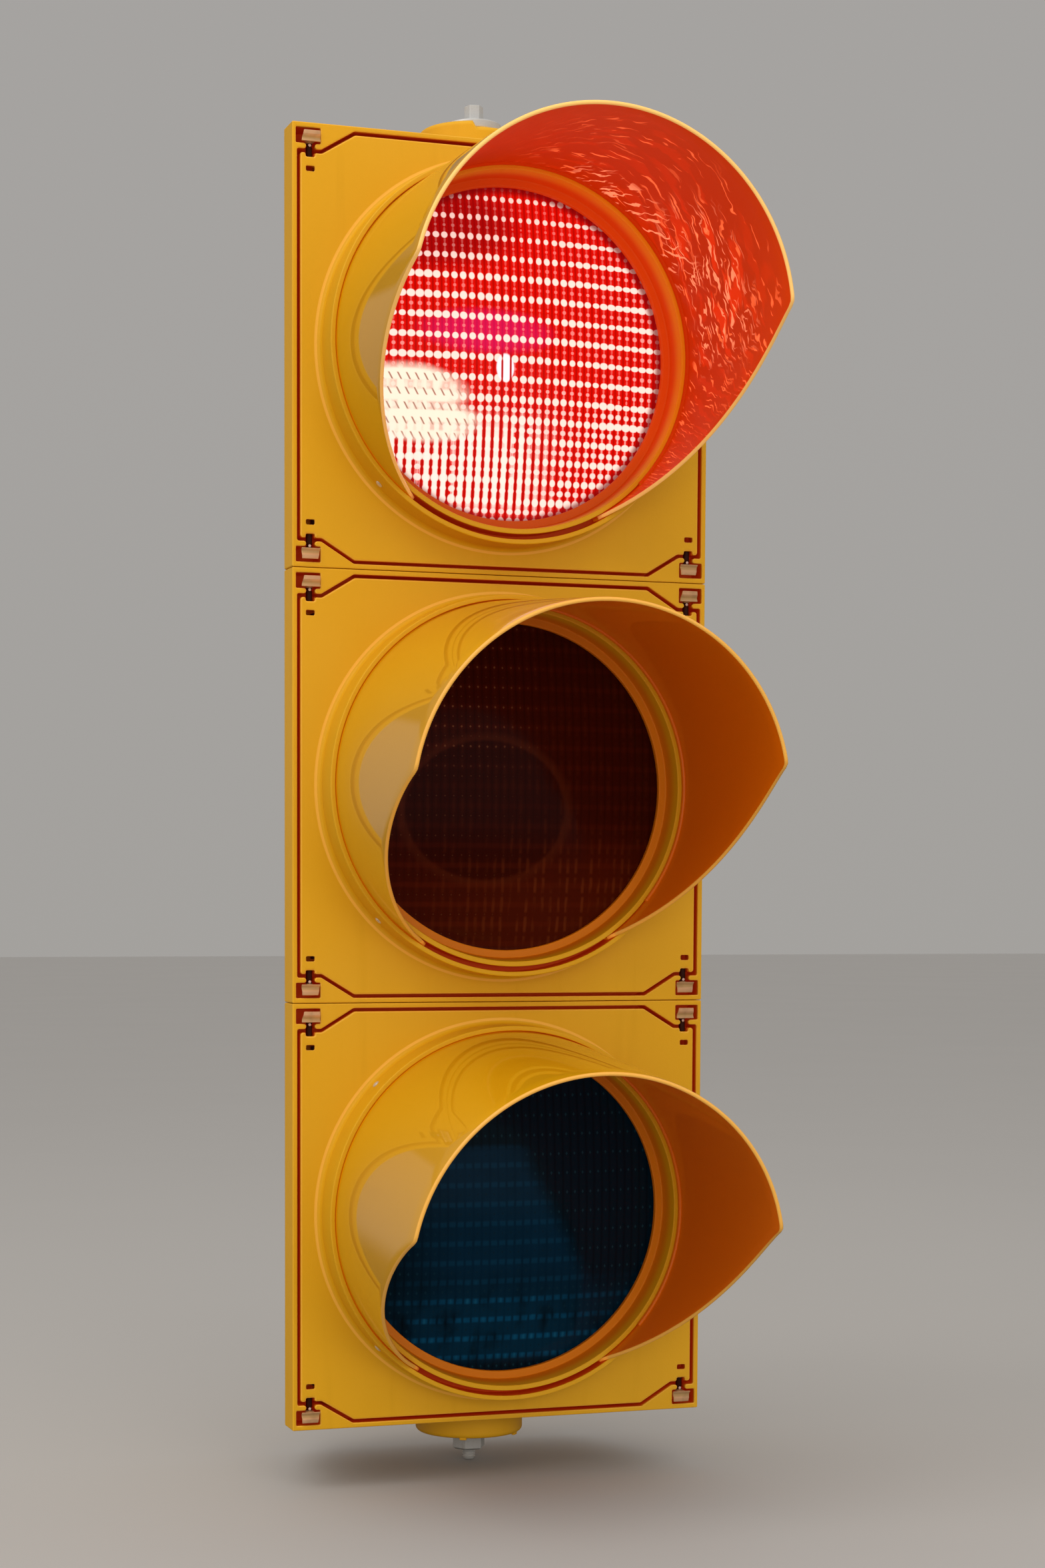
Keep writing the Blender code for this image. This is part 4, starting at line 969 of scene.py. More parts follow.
def housing_shape(settings):
    h = settings
    shape = bmesh.new()
    half = SECTION_HEIGHT / 2
    plan = rounded(
        ((-HALF_WIDTH, 0), (HALF_WIDTH, 0), (HALF_WIDTH, h.flange), (h.body, h.flange + h.wall),
         (h.body, h.straight), (h.back, HOUSING_DEPTH), (-h.back, HOUSING_DEPTH), (-h.body, h.straight),
         (-h.body, h.flange + h.wall), (-HALF_WIDTH, h.flange)),
        [h.edge * 1.06] * 2 + [1.5 * MM, MM, 14 * MM, 12 * MM, 12 * MM, 14 * MM, MM, 1.5 * MM], 6)
    steps = edge_steps(h.edge)
    ends = [rising(grown(plan, -inset), depth - half) for inset, depth in steps]
    ends += [rising(grown(plan, -inset), half - depth) for inset, depth in reversed(steps)]
    skins = [loop_of(shape, points) for points in ends]
    bridge(shape, skins)
    room = rounded(
        ((-h.body + h.wall, h.flange), (h.body - h.wall, h.flange), (h.body - h.wall, h.straight),
         (h.back - h.wall, HOUSING_DEPTH - h.wall), (h.wall - h.back, HOUSING_DEPTH - h.wall),
         (h.wall - h.body, h.straight)),
        [0.5 * MM, 0.5 * MM, 11 * MM, 9 * MM, 9 * MM, 11 * MM], 6)
    walls = [loop_of(shape, rising(grown(room, 0), level)) for level in (h.wall - half, half - h.wall)]
    bridge(shape, walls)
    hub = Matrix.Translation((0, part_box("top_hub_cap")[0].y / 2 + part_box("top_hub_cap")[1].y / 2
                              - section_centre("amber").y, 0))
    for outer, inner, level in ((skins[0], walls[0], -half), (skins[-1], walls[1], half)):
        rims = []
        for height in (level, level - math.copysign(h.wall, level)):
            ring = [(h.hub * math.cos(math.tau * i / SMALL_STEPS), h.hub * math.sin(math.tau * i / SMALL_STEPS))
                    for i in range(SMALL_STEPS)]
            rims.append(loop_of(shape, [hub @ point for point in rising(ring, height)]))
        fill(shape, outer, rims[0])
        fill(shape, inner, rims[1])
        bridge(shape, rims)

    near, far = slot_edges(h)
    corner = cornered(h, 0.0)
    quarter = from_corner((
        corner[0], (near, h.block_height), (near, h.pocket_bottom), (h.pocket_side, h.pocket_bottom),
        (h.pocket_side, h.pocket_top), (h.pocket_inner, h.pocket_top), (h.pocket_inner, h.pocket_bottom),
        (far, h.pocket_bottom), (far, h.block_height), corner[1], corner[2]))
    nose, tight, soft = 1.42 * MM, 0.7 * MM, 3.0 * MM
    recess = rounded(
        mirrored_corners(quarter),
        mirrored_radii([1.2 * MM, nose, nose, tight, tight, tight, tight, nose, nose, soft, soft]), 6)
    hollow = [loop_of(shape, frontal(grown(recess, inset), depth)) for inset, depth in edge_steps(h.inner_edge)]
    hollow.append(loop_of(shape, frontal(grown(recess, 0), h.recess)))
    bridge(shape, hollow)
    rise = bpy.context.scene.signal_door.ring_rise
    mouth = [loop_of(shape, circle(h.opening, depth, rise)) for depth in (h.recess, h.flange)]
    bridge(shape, mouth)
    fill(shape, hollow[-1], mouth[0])
    opened(shape, 0.0, hollow[0])
    opened(shape, h.flange, mouth[1])
    return close_up(shape)


def door_quarter(h, d, inset):
    """The door's outline at its top right corner, with the notch over the pin."""
    near, far = slot_edges(h)
    corner = cornered(h, inset)
    end = corner[0][1]
    return from_corner((corner[0], (near, end), (near, d.notch), (far, d.notch), (far, end), corner[1], corner[2]))


def windows(h, d):
    near, far = slot_edges(h)
    for _, side, up in CORNERS:
        xs = sorted((side * (HALF_WIDTH - near), side * (HALF_WIDTH - far)))
        zs = sorted((up * (HALF_PITCH - d.window), up * (HALF_PITCH - d.window_end)))
        yield rounded(((xs[0], zs[0]), (xs[1], zs[0]), (xs[1], zs[1]), (xs[0], zs[1])), 0.8 * MM, 4)


def ring_profile(d, plate_back):
    return softened(
        ((d.foot, d.face), (d.ring_outer + 0.9 * MM, d.face - 0.7 * MM), (d.ring_outer, d.face - 3.5 * MM),
         (d.ring_outer, -d.ring_front), (d.groove_outer, -d.ring_front), (d.groove_outer, -d.groove_floor),
         (d.groove_inner, -d.groove_floor), (d.groove_inner, -d.ring_front), (d.throat, -d.ring_front),
         (d.throat_back, -d.shelf), (d.shelf_inner, -d.shelf), (d.shelf_inner, -d.shelf_back),
         (d.cup_inner, -d.shelf_back), (d.cup_inner, d.back), (d.cup_outer, d.back), (d.cup_outer, plate_back)),
        [0.0, 3 * MM, 2 * MM, 0.9 * MM, 0.6 * MM, 0.3 * MM, 0.3 * MM, 0.6 * MM, 0.8 * MM, 0.9 * MM, 0.9 * MM,
         0.4 * MM, 0.4 * MM, 0.4 * MM, 0.4 * MM, 0.0], 4, closed=False)


def door_shape(h, d):
    shape = bmesh.new()
    back = d.face + 1.8 * MM
    outline = rounded(
        mirrored_corners(door_quarter(h, d, d.seam)),
        mirrored_radii([2.6 * MM, 1.3 * MM, 0.9 * MM, 0.9 * MM, 1.3 * MM, 3 * MM, 3 * MM]), 6)
    skins = [loop_of(shape, frontal(grown(outline, -inset), d.face + depth)) for inset, depth in edge_steps(d.edge)]
    skins.append(loop_of(shape, frontal(grown(outline, 0), back)))
    bridge(shape, skins)
    front, rear = [skins[0]], [skins[-1]]
    for pane in windows(h, d):
        rims = [
            loop_of(shape, frontal(grown(pane, 0.4 * MM), d.face)),
            loop_of(shape, frontal(grown(pane, 0.1 * MM), d.face + 0.2 * MM)),
            loop_of(shape, frontal(grown(pane, 0), d.face + 0.5 * MM)),
            loop_of(shape, frontal(grown(pane, 0), back)),
        ]
        bridge(shape, rims)
        front.append(rims[0])
        rear.append(rims[-1])
    front.append(loop_of(shape, circle(d.foot, d.face, d.ring_rise)))
    rear.append(loop_of(shape, circle(d.cup_outer, back, d.ring_rise)))
    fill(shape, *front)
    fill(shape, *rear)
    add_to(shape, spun(ring_profile(d, back), closed=False), Matrix.Translation((0, 0, d.ring_rise)))
    close_up(shape, 2e-6)

    near, far = slot_edges(h)
    outer, inner = cornered(h, d.seam), cornered(h, d.seam + d.skirt)
    side = from_corner(((near, outer[0][1]), outer[0]))
    side_in = from_corner((inner[0], (near, inner[0][1])))
    across = from_corner(((far, outer[0][1]), outer[1], outer[2]))
    across_in = from_corner((inner[2], inner[1], (far, inner[0][1])))
    low, high = back - 0.1 * MM, d.back
    for turn in (1, -1):
        right = [(x, -z) for x, z in side] + [(x, z) for x, z in reversed(side)]
        right += [(x, z) for x, z in reversed(side_in)] + [(x, -z) for x, z in side_in]
        ribbon = [point for point, _ in rounded(
            right, [0.3 * MM, 2.6 * MM, 2.6 * MM, 0.3 * MM, 0.3 * MM, 0.4 * MM, 0.4 * MM, 0.3 * MM], 6)]
        add_to(shape, prism([(turn * x, z) for x, z in ribbon], low, high, 0.4 * MM, "Y"))
        top = across + [(-x, z) for x, z in reversed(across)]
        top += [(-x, z) for x, z in reversed(across_in)] + across_in
        ribbon = [point for point, _ in rounded(
            top, [0.3 * MM, 3 * MM, 3 * MM, 3 * MM, 3 * MM, 0.3 * MM, 0.3 * MM, 1.5 * MM, 1.5 * MM, 1.5 * MM,
                  1.5 * MM, 0.3 * MM], 6)]
        add_to(shape, prism([(x, turn * z) for x, z in ribbon], low, high, 0.4 * MM, "Y"))
    for _, across_sign, up in CORNERS:
        middle = across_sign * (HALF_WIDTH - h.pin_inset)
        for lean in (-1, 1):
            xs = sorted((middle + lean * 2.35 * MM, middle + lean * 5 * MM))
            zs = sorted((up * (HALF_PITCH - h.block_height - d.seam - 0.3 * MM), up * (HALF_PITCH - 24.6 * MM)))
            add_to(shape, block((xs[0], back - 0.1 * MM, zs[0]), (xs[1], d.back - 0.3 * MM, zs[1]), 0.4 * MM, 2))
    return shape


def visor_reach(v, degrees_from_crown, tilt):
    """How far the tube stands in front at an angle from its crown."""
    turn = abs(degrees_from_crown)
    crown = v.reach * math.cos(tilt) + v.outer * math.sin(tilt) * math.cos(turn)
    along = max(0.0, (turn - v.tip) / (v.end - v.tip))
    straight = crown + (v.end_reach - crown) * (turn - v.tip) / (v.end - v.tip)
    cut = straight - v.bow * math.sin(math.pi * along ** 0.6)
    gap = (cut - crown) / v.soften
    if abs(gap) >= 1:
        return min(cut, crown)
    return (cut + crown - abs(cut - crown)) / 2 - v.soften * (1 - abs(gap)) ** 2 / 4


def visor_shape(v, tilt):
    """A wall's section with its rolled rim, spun part of the way round, then cut back below by moving its rim."""
    inner, half = v.outer - v.wall, v.wall / 2
    rows = 14
    rim = 4.0
    profile = [(v.outer, row / rows) for row in range(rows + 1)]
    profile += [
        (v.outer - half + half * math.cos(math.pi * i / 8), rim + half * math.sin(math.pi * i / 8))
        for i in range(1, 8)
    ]
    profile += [(inner, row / rows) for row in reversed(range(rows + 1))]
    shape = bmesh.new()
    start = Matrix.Rotation(-v.end, 3, "Y")
    chain = [shape.verts.new(start @ Vector((0, along, radius))) for radius, along in profile]
    edges = [shape.edges.new((chain[i - 1], chain[i])) for i in range(len(chain))]
    first = list(edges)
    swept = bmesh.ops.spin(shape, geom=chain + edges, axis=(0, 1, 0), cent=(0, 0, 0), angle=2 * v.end,
                           steps=VISOR_STEPS, use_merge=False)
    last = [item for item in swept["geom_last"] if isinstance(item, bmesh.types.BMEdge)]
    fill(shape, first)
    fill(shape, last)
    inside = shape.verts.layers.float.new("inside")
    round_ = shape.verts.layers.float.new("round")
    out = shape.verts.layers.float.new("out")
    edge = shape.verts.layers.float.new("rim")
    for corner in shape.verts:
        turn = math.atan2(corner.co.x, corner.co.z)
        end = visor_reach(v, turn, tilt) - half
        row = corner.co.y
        reach = end + row - rim if row > 2 else v.foot + (end - v.foot) * row
        corner[inside] = 1.0 if row < 2 and math.hypot(corner.co.x, corner.co.z) < inner + 0.2 * MM else 0.0
        corner[edge] = 1.0 if row > 2 else 0.0
        corner[round_] = turn * v.outer * 100
        corner[out] = (reach - v.mouth) * 100
        corner.co.y = -reach
        corner.co.z -= max(0.0, reach - v.mouth) * math.tan(tilt)
    return face_outwards(shape)


def visor_bead(v):
    """A raised bead inside the tube, just clear of the ring."""
    inner = v.outer - v.wall
    front = v.mouth + 0.4 * MM
    profile = softened(
        ((inner + 0.3 * MM, front), (inner - v.bead, front), (inner - v.bead, front + 2.6 * MM),
         (inner + 0.3 * MM, front + 3.4 * MM)), 0.45 * MM, 3)
    shape = bmesh.new()
    span = math.radians(131)
    start = Matrix.Rotation(-span, 3, "Y")
    chain = [shape.verts.new(start @ Vector((0, -along, radius))) for radius, along in profile]
    edges = [shape.edges.new((chain[i - 1], chain[i])) for i in range(len(chain))]
    first = list(edges)
    swept = bmesh.ops.spin(shape, geom=chain + edges, axis=(0, 1, 0), cent=(0, 0, 0), angle=2 * span,
                           steps=132, use_merge=False)
    fill(shape, first)
    fill(shape, [item for item in swept["geom_last"] if isinstance(item, bmesh.types.BMEdge)])
    return face_outwards(shape)


VISOR_TILT = {"green": math.radians(4.8), "amber": math.radians(4.8), "red": math.radians(2.7)}
VISOR_ROLL = {"green": math.radians(0.2), "amber": math.radians(-1.8), "red": math.radians(3.0)}


def lens_shape(s, front):
    """A smooth dome in front, a flat flange, and a smooth dome on the back for the prisms to sit on."""
    shape = bmesh.new()
    count = 26

    def dome(radius, depth, height):
        ball = (radius ** 2 + height ** 2) / (2 * height)
        reaches = [radius * (1 - i / count) for i in range(count + 1)]
        return [(reach, depth - height + ball - math.sqrt(ball ** 2 - reach ** 2)) for reach in reaches]

    flange = 3.0 * MM
    face = list(reversed(dome(s.clear, front, s.sag)))
    edge = [(s.clear + 1.5 * MM, front + 0.05 * MM), (s.radius - 0.4 * MM, front + 0.05 * MM),
            (s.radius, front + 0.4 * MM), (s.radius, front + flange - 0.4 * MM),
            (s.radius - 0.4 * MM, front + flange)]
    back = dome(s.clear - s.thickness, front + flange, s.sag + flange - s.thickness - s.relief)
    add_to(shape, spun(face + edge + back, closed=False))
    return close_up(shape)


def prism_field(s, front):
    """The prisms on the back of a lens: pillows in columns and rows, each dipping into the lens."""
    shape = bmesh.new()
    columns = int(s.clear / s.column) - 1
    rows = int(s.clear / s.row) - 1
    for i in range(-columns, columns + 1):
        for j in range(-rows, rows + 1):
            x, z = i * s.column, j * s.row
            radius = math.hypot(x, z)
            if radius > s.clear - 7.5 * MM:
                continue
            reach = s.clear - s.thickness
            height = s.sag + 3.0 * MM - s.thickness - s.relief
            ball = (reach ** 2 + height ** 2) / (2 * height)
            depth = front + 3.0 * MM - height + ball - math.sqrt(max(0.0, ball ** 2 - radius ** 2))
            made = bmesh.ops.create_grid(shape, x_segments=3, y_segments=2, size=0.5)
            for corner in made["verts"]:
                u, w = corner.co.x, corner.co.y
                rise = (1 - (2 * u) ** 2) * (1 - (2 * w) ** 2)
                corner.co = Vector((x + u * s.column * 0.98, depth - 0.9 * MM + rise * s.relief * 2.6,
                                    z + w * s.row * 0.98))
    backs = bmesh.ops.extrude_face_region(shape, geom=list(shape.faces), use_keep_orig=True)
    moved = [item for item in backs["geom"] if isinstance(item, bmesh.types.BMVert)]
    bmesh.ops.translate(shape, verts=moved, vec=(0, -0.5 * MM, 0))
    bmesh.ops.recalc_face_normals(shape, faces=shape.faces)
    return shape


def tab_shape(pin_depth):
    """A finger tab bent from strip: an upper lip that takes a painted highlight, a scooped middle and a lower lip,
    with a slanted end.
    """
    section = softened(
        ((-1.55 * MM, -4.8 * MM), (-0.35 * MM, -4.8 * MM), (-0.35 * MM, -7.2 * MM), (0.7 * MM, -8.6 * MM),
         (0.7 * MM, -9.8 * MM), (-0.35 * MM, -11.15 * MM), (-1.5 * MM, -11.15 * MM), (-0.5 * MM, -9.6 * MM),
         (-0.5 * MM, -8.9 * MM), (-1.55 * MM, -7.0 * MM)), 0.35 * MM, 3)
    outline = [(along - pin_depth, up) for along, up in section]
    shape = prism(outline, -5.65 * MM, 5.65 * MM, 0.3 * MM, "X", 3)
    for corner in shape.verts:
        share = (corner.co.z + 11.2 * MM) / (6.4 * MM)
        if corner.co.x < 0:
            corner.co.x *= 1.0 - 0.26 * share
        else:
            corner.co.x *= 1.0 - 0.05 * share
    return shape


def latch_shape():
    """Tab, stem and pin. Its frame is the pin's axis at the section's end."""
    shape = tab_shape(PIN_DEPTH)
    low, high = (-2.5 * MM, -0.7 * MM - PIN_DEPTH, -11.15 * MM), (2.5 * MM, 0.95 * MM, -9.65 * MM)
    add_to(shape, block(low, high, 0.3 * MM, 2))
    pin = softened(((0.0, -22.6 * MM), (1.35 * MM, -22.6 * MM), (1.9 * MM, -21.7 * MM), (1.9 * MM, -13.6 * MM),
                    (1.45 * MM, -13.2 * MM), (1.45 * MM, -12.7 * MM), (1.9 * MM, -12.3 * MM),
                    (1.9 * MM, -9.8 * MM), (0.0, -9.8 * MM)),
                   [0, 0.2 * MM, 0.3 * MM, 0.2 * MM, 0.15 * MM, 0.15 * MM, 0.2 * MM, 0.2 * MM, 0], 3, closed=False)
    add_to(shape, spun(pin, "Z", 32, closed=False))
    knob = [(0.0, 0.0)] + [(1.15 * MM * math.sin(math.radians(a)), 0.9 * MM * (1 - math.cos(math.radians(a))))
                           for a in (18, 36, 54, 72, 90)] + [(1.15 * MM, 1.6 * MM), (0.0, 1.6 * MM)]
    rivet = spun(knob, "Y", 24, closed=False)
    add_to(shape, rivet, Matrix.Translation((0, -2.3 * MM, -12.6 * MM)))
    return shape


def cap_shape(radius, height, bore, up, nicks=(), step=None):
    """A closure cap: a rounded shoulder, a flat top, a thin parting line, and nicks or a stepped part."""
    r = 3.0 * MM
    shoulder = [(radius - r + r * math.sin(math.radians(a)), height - r * (1 - math.cos(math.radians(a))))
                for a in range(0, 91, 10)]
    profile = [(bore, height), (16.8 * MM, height), (18.2 * MM, height)] + shoulder
    profile += [(radius, 4.6 * MM), (radius - 0.35 * MM, 4.3 * MM), (radius - 0.35 * MM, 3.9 * MM),
                (radius, 3.6 * MM), (radius, 0.5 * MM), (radius - 0.5 * MM, 0.0), (bore, 0.0)]
    shape = spun([(along, up * level) for along, level in profile], "Z", 96)
    if step:
        for corner in shape.verts:
            turn = math.degrees(math.atan2(corner.co.y, corner.co.x)) % 360
            outer = math.hypot(corner.co.x, corner.co.y) > STEP_RADIUS
            if outer and step[0] < turn < step[1] and corner.co.z > height - 4 * MM:
                corner.co.z -= STEP_DROP
    for turn in nicks:
        spot_at = Vector((radius * math.cos(turn), radius * math.sin(turn), 0))
        notch = block((-1.1 * MM, -2.2 * MM, -1.6 * MM), (1.1 * MM, 2.2 * MM, 1.6 * MM), 0.5 * MM, 2)
        lifted = spot_at * 0.93 + Vector((0, 0, up * (height - 0.6 * MM)))
        place = Matrix.Translation(lifted) @ Matrix.Rotation(turn, 4, "Z")
        add_to(shape, notch, place)
    return shape


def hexagon_shape(across, low, high, bore=0.0):
    """A hexagon whose two ends are turned to a chamfer, with a bore if it is a nut."""
    shape = bmesh.new()
    radius = across / math.sqrt(3)
    corners = [(radius * math.cos(i * math.pi / 3), radius * math.sin(i * math.pi / 3)) for i in range(6)]
    flats = rounded(corners, 0.5 * MM, 3)
    cut = 0.075 * across
    levels = ((low, -cut), (low + 0.35 * cut, -0.45 * cut), (low + 0.8 * cut, 0.0),
              (high - 0.8 * cut, 0.0), (high - 0.35 * cut, -0.45 * cut), (high, -cut))
    skins = [loop_of(shape, rising(grown(flats, inset), level)) for level, inset in levels]
    bridge(shape, skins)
    if bore:
        rings = []
        for level, widened in ((low, 0.5 * MM), (low + 0.5 * MM, 0.0), (high - 0.5 * MM, 0.0), (high, 0.5 * MM)):
            points = [((bore + widened) * math.cos(math.tau * i / 32), (bore + widened) * math.sin(math.tau * i / 32))
                      for i in range(32)]
            rings.append(loop_of(shape, rising(points, level)))
        bridge(shape, rings)
        fill(shape, skins[0], rings[0])
        fill(shape, skins[-1], rings[-1])
    else:
        fill(shape, skins[0])
        fill(shape, skins[-1])
    return close_up(shape)


def threaded_shape(radius, low, high, pitch=1.5 * MM):
    """A stud with rounded thread crests all the way along."""
    root = radius - 0.45 * MM
    profile = [(0.0, low), (root - 0.3 * MM, low), (root, low + 0.5 * MM)]
    level = low + 0.8 * MM
    while level + pitch < high - 0.5 * MM:
        profile += [(root, level), (radius, level + pitch * 0.36), (radius, level + pitch * 0.50),
                    (root, level + pitch * 0.86)]
        level += pitch
    profile += [(root, high), (0.0, high)]
    return spun(profile, "Z", 32, closed=False)


def washer_shape(inner, outer, low, high):
    edge = 0.8 * MM
    profile = softened(((inner, low), (outer, low), (outer, high), (inner, high)), edge, 4)
    return spun(profile, "Z", 72)


def ring_section(profile, radius=0.5 * MM, steps=RING_STEPS):
    return spun(softened(profile, radius, 3), "Y", steps)


# Operators, one for each kind of piece

class SIGNAL_OT_housings(bpy.types.Operator):
    """Build the three housings with their lips, corner blocks and pin pockets"""
    bl_idname = "signal.housings"
    bl_label = "Housings"

    def execute(self, context):
        scene = context.scene
        skin = yellow_moulding()
        for colour in COLOURS:
            name = "housing_" + colour
            finish_piece(name + "_moulding", housing_shape(scene.signal_housing), skin, "head",
                         [name], section_centre(colour), even=True)
        return {"FINISHED"}


class SIGNAL_OT_doors(bpy.types.Operator):
    """Build the three doors with their raised rings, notches, windows and screws"""
    bl_idname = "signal.doors"
    bl_label = "Doors"

    def execute(self, context):
        scene = context.scene
        h, d, tones = scene.signal_housing, scene.signal_door, scene.signal_finish
        skin = yellow_moulding()
        # The red door takes a copy of the matt yellow with the red lens's painted light and shade in it.
        red_lit_yellow = matt_yellow(tuple(tones.housing), lit=True)
        bright = zinc_plate()
        for colour in COLOURS:
            name = "door_" + colour
            finish_piece(name + "_moulding", door_shape(h, d), red_lit_yellow if colour == "red" else skin,
                         door_body(colour), [name], section_centre(colour), even=True)
            shape = bmesh.new()
            for turn in ((314, 225) if colour == "green" else (225, 135)):
                screw = softened(((0.0, 0.9 * MM), (1.5 * MM, 0.7 * MM), (2.3 * MM, 0.2 * MM), (2.3 * MM, -1.2 * MM),
                                  (0.0, -1.2 * MM)), 0.3 * MM, 3, closed=False)
                head = spun(screw, "Z", 24, closed=False)
                place = (Matrix.Translation((0, 0, d.ring_rise)) @ Matrix.Rotation(math.radians(turn), 4, "Y")
                         @ Matrix.Translation((0, -8 * MM, d.ring_outer)))
                add_to(shape, head, place)
            finish_piece("ring_screws_" + colour, shape, bright, door_body(colour), (),
                         section_centre(colour))
        return {"FINISHED"}


class SIGNAL_OT_visors(bpy.types.Operator):
    """Build the three cutaway visors"""
    bl_idname = "signal.visors"
    bl_label = "Visors"

    def execute(self, context):
        scene = context.scene
        v = scene.signal_visor
        tone = tuple(scene.signal_finish.visor)
        for colour in COLOURS:
            centre = section_centre(colour) + Vector((0, 0, scene.signal_door.ring_rise))
            if colour == "red":
                skin = lit_visor(tone)
            else:
                skin = finish_of("glossy yellow polycarbonate",
                                 lambda: gloss_yellow("glossy yellow polycarbonate", tone).material)
            shape = visor_shape(v, VISOR_TILT[colour])
            add_to(shape, visor_bead(v))
            # The inside near the mouth, the bead's too, takes the inside's painted shade.
            inside = shape.verts.layers.float["inside"]
            for corner in shape.verts:
                reach = math.hypot(corner.co.x, corner.co.z)
                if -corner.co.y < v.mouth + 5 * MM and reach < v.outer - v.wall + 0.2 * MM:
                    corner[inside] = 1.0
            turned = Matrix.Rotation(VISOR_ROLL[colour], 4, "Y")
            bmesh.ops.transform(shape, matrix=turned, verts=shape.verts)
            name = "visor_" + colour
            finish_piece(name + "_sheet", shape, skin, door_body(colour), [name],
                         centre, sharp=50.0)
        return {"FINISHED"}


class SIGNAL_OT_lenses(bpy.types.Operator):
    """Build the three lenses with their gaskets and retaining rings"""
    bl_idname = "signal.lenses"
    bl_label = "Lenses"

    def execute(self, context):
        scene = context.scene
        s, d, tones = scene.signal_lens, scene.signal_door, scene.signal_finish
        black = black_rubber()
        bright = zinc_plate()
        gap, pad = 0.3 * MM, 1.8 * MM
        front = pad + 2 * gap - d.shelf_back
        for colour in COLOURS:
            centre = section_centre(colour) + Vector((0, 0, d.ring_rise))
            if colour == "red":
                glass = red_lens(centre, tuple(tones.red), tones.glow)
            elif colour == "amber":
                glass = amber_lens(centre, tuple(tones.amber))
            else:
                glass = green_lens(centre, tuple(tones.green))
            body = door_body(colour)
            shape = lens_shape(s, front)
            add_to(shape, prism_field(s, front))
            finish_piece("lens_" + colour + "_glass", shape, glass, body, ["lens_" + colour],
                         centre)
            outer, wall = d.cup_inner - gap, 1.3 * MM
            seat = gap - d.shelf_back
            gasket = ring_section((
                (d.shelf_inner + 2 * MM, seat), (outer, seat), (outer, seat + pad + 3.3 * MM),
                (outer - wall, seat + pad + 3.3 * MM), (outer - wall, seat + pad),
                (d.shelf_inner + 2 * MM, seat + pad)))
            finish_piece("lens_gasket_" + colour + "_seal", gasket, black, body,
                         ["lens_gasket_" + colour], centre)
            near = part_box("lens_retainer_" + colour)[0].y - centre.y
            ring = ring_section(((s.radius - 7 * MM, near), (outer, near), (outer, near + 2 * MM),
                                 (s.radius - 7 * MM, near + 2 * MM)), 0.4 * MM)
            for quarter in range(4):
                clip = block((-6 * MM, near - 0.2 * MM, outer - 9.5 * MM),
                             (6 * MM, near + 3.0 * MM, outer - 1.0 * MM), 0.6 * MM, 3)
                add_to(ring, clip, Matrix.Rotation(math.radians(45 + 90 * quarter), 4, "Y"))
            finish_piece("lens_retainer_" + colour + "_ring", ring, bright, body,
                         ["lens_retainer_" + colour], centre)
        return {"FINISHED"}


class SIGNAL_OT_latches(bpy.types.Operator):
    """Build the twelve corner pins with their finger tabs"""
    bl_idname = "signal.latches"
    bl_label = "Corner pins"

    def execute(self, context):
        scene = context.scene
        steel = finish_of("stainless steel", lambda: latch_steel(tuple(scene.signal_finish.tab)))
        inset = scene.signal_housing.pin_inset
        for colour in COLOURS:
            for corner, side, up in CORNERS:
                shape = latch_shape()
                if up < 0:
                    over = Matrix.Rotation(math.pi, 3, "Y")
                    bmesh.ops.rotate(shape, cent=(0, 0, 0), matrix=over, verts=shape.verts)
                place = section_centre(colour) + Vector((side * (HALF_WIDTH - inset), PIN_DEPTH, up * HALF_PITCH))
                name = f"latch_{colour}_{corner}"
                finish_piece(name + "_pin", shape, steel, name + "_body", [name], place)
        return {"FINISHED"}


class SIGNAL_OT_ends(bpy.types.Operator):
    """Build the closure caps, washer, bolt, nut and stud at the two ends"""
    bl_idname = "signal.ends"
    bl_label = "Caps and bolts"

    def execute(self, context):
        skin = yellow_moulding()
        bright = zinc_plate()
        pale = finish_of("white zinc plate", lambda: metal(
            "white zinc plate", (0.86, 0.86, 0.85), 0.42, stain=(0.6, 0.55, 0.48)))
        low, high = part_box("top_hub_cap")
        cap = cap_shape((high.x - low.x) / 2, high.z - low.z, BORE, 1, step=STEP_DEGREES)
        finish_piece("top_hub_cap_moulding", cap, skin, "head", ["top_hub_cap"],
                     Vector((0, 0, low.z)), even=True)
        low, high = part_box("bottom_hub_cap")
        nicks = tuple(map(math.radians, NICK_DEGREES))
        cap = cap_shape((high.x - low.x) / 2, high.z - low.z, BORE, -1, nicks)
        finish_piece("bottom_hub_cap_moulding", cap, skin, "head", ["bottom_hub_cap"],
                     Vector((0, 0, high.z)), even=True)
        low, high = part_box("top_washer")
        finish_piece("top_washer_plate", washer_shape(BORE, high.x, low.z, high.z), pale, "head",
                     ["top_washer"])
        washer = high
        low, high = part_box("top_bolt")
        bolt = hexagon_shape(BOLT_ACROSS, washer.z + 0.3 * MM, high.z)
        bmesh.ops.rotate(bolt, cent=(0, 0, 0), matrix=Matrix.Rotation(math.radians(-12), 3, "Z"), verts=bolt.verts)
        add_to(bolt, threaded_shape(STUD_RADIUS, low.z, washer.z + 1.2 * MM))
        finish_piece("top_bolt_steel", bolt, pale, "head", ["top_bolt"], sharp=28.0)
        low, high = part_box("bottom_nut")
        finish_piece("bottom_nut_steel", hexagon_shape(NUT_ACROSS, low.z, high.z, NUT_BORE), bright, "head",
                     ["bottom_nut"], sharp=28.0)
        low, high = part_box("bottom_stud")
        finish_piece("bottom_stud_steel", threaded_shape(STUD_RADIUS, low.z, high.z), bright, "head",
                     ["bottom_stud"])
        return {"FINISHED"}


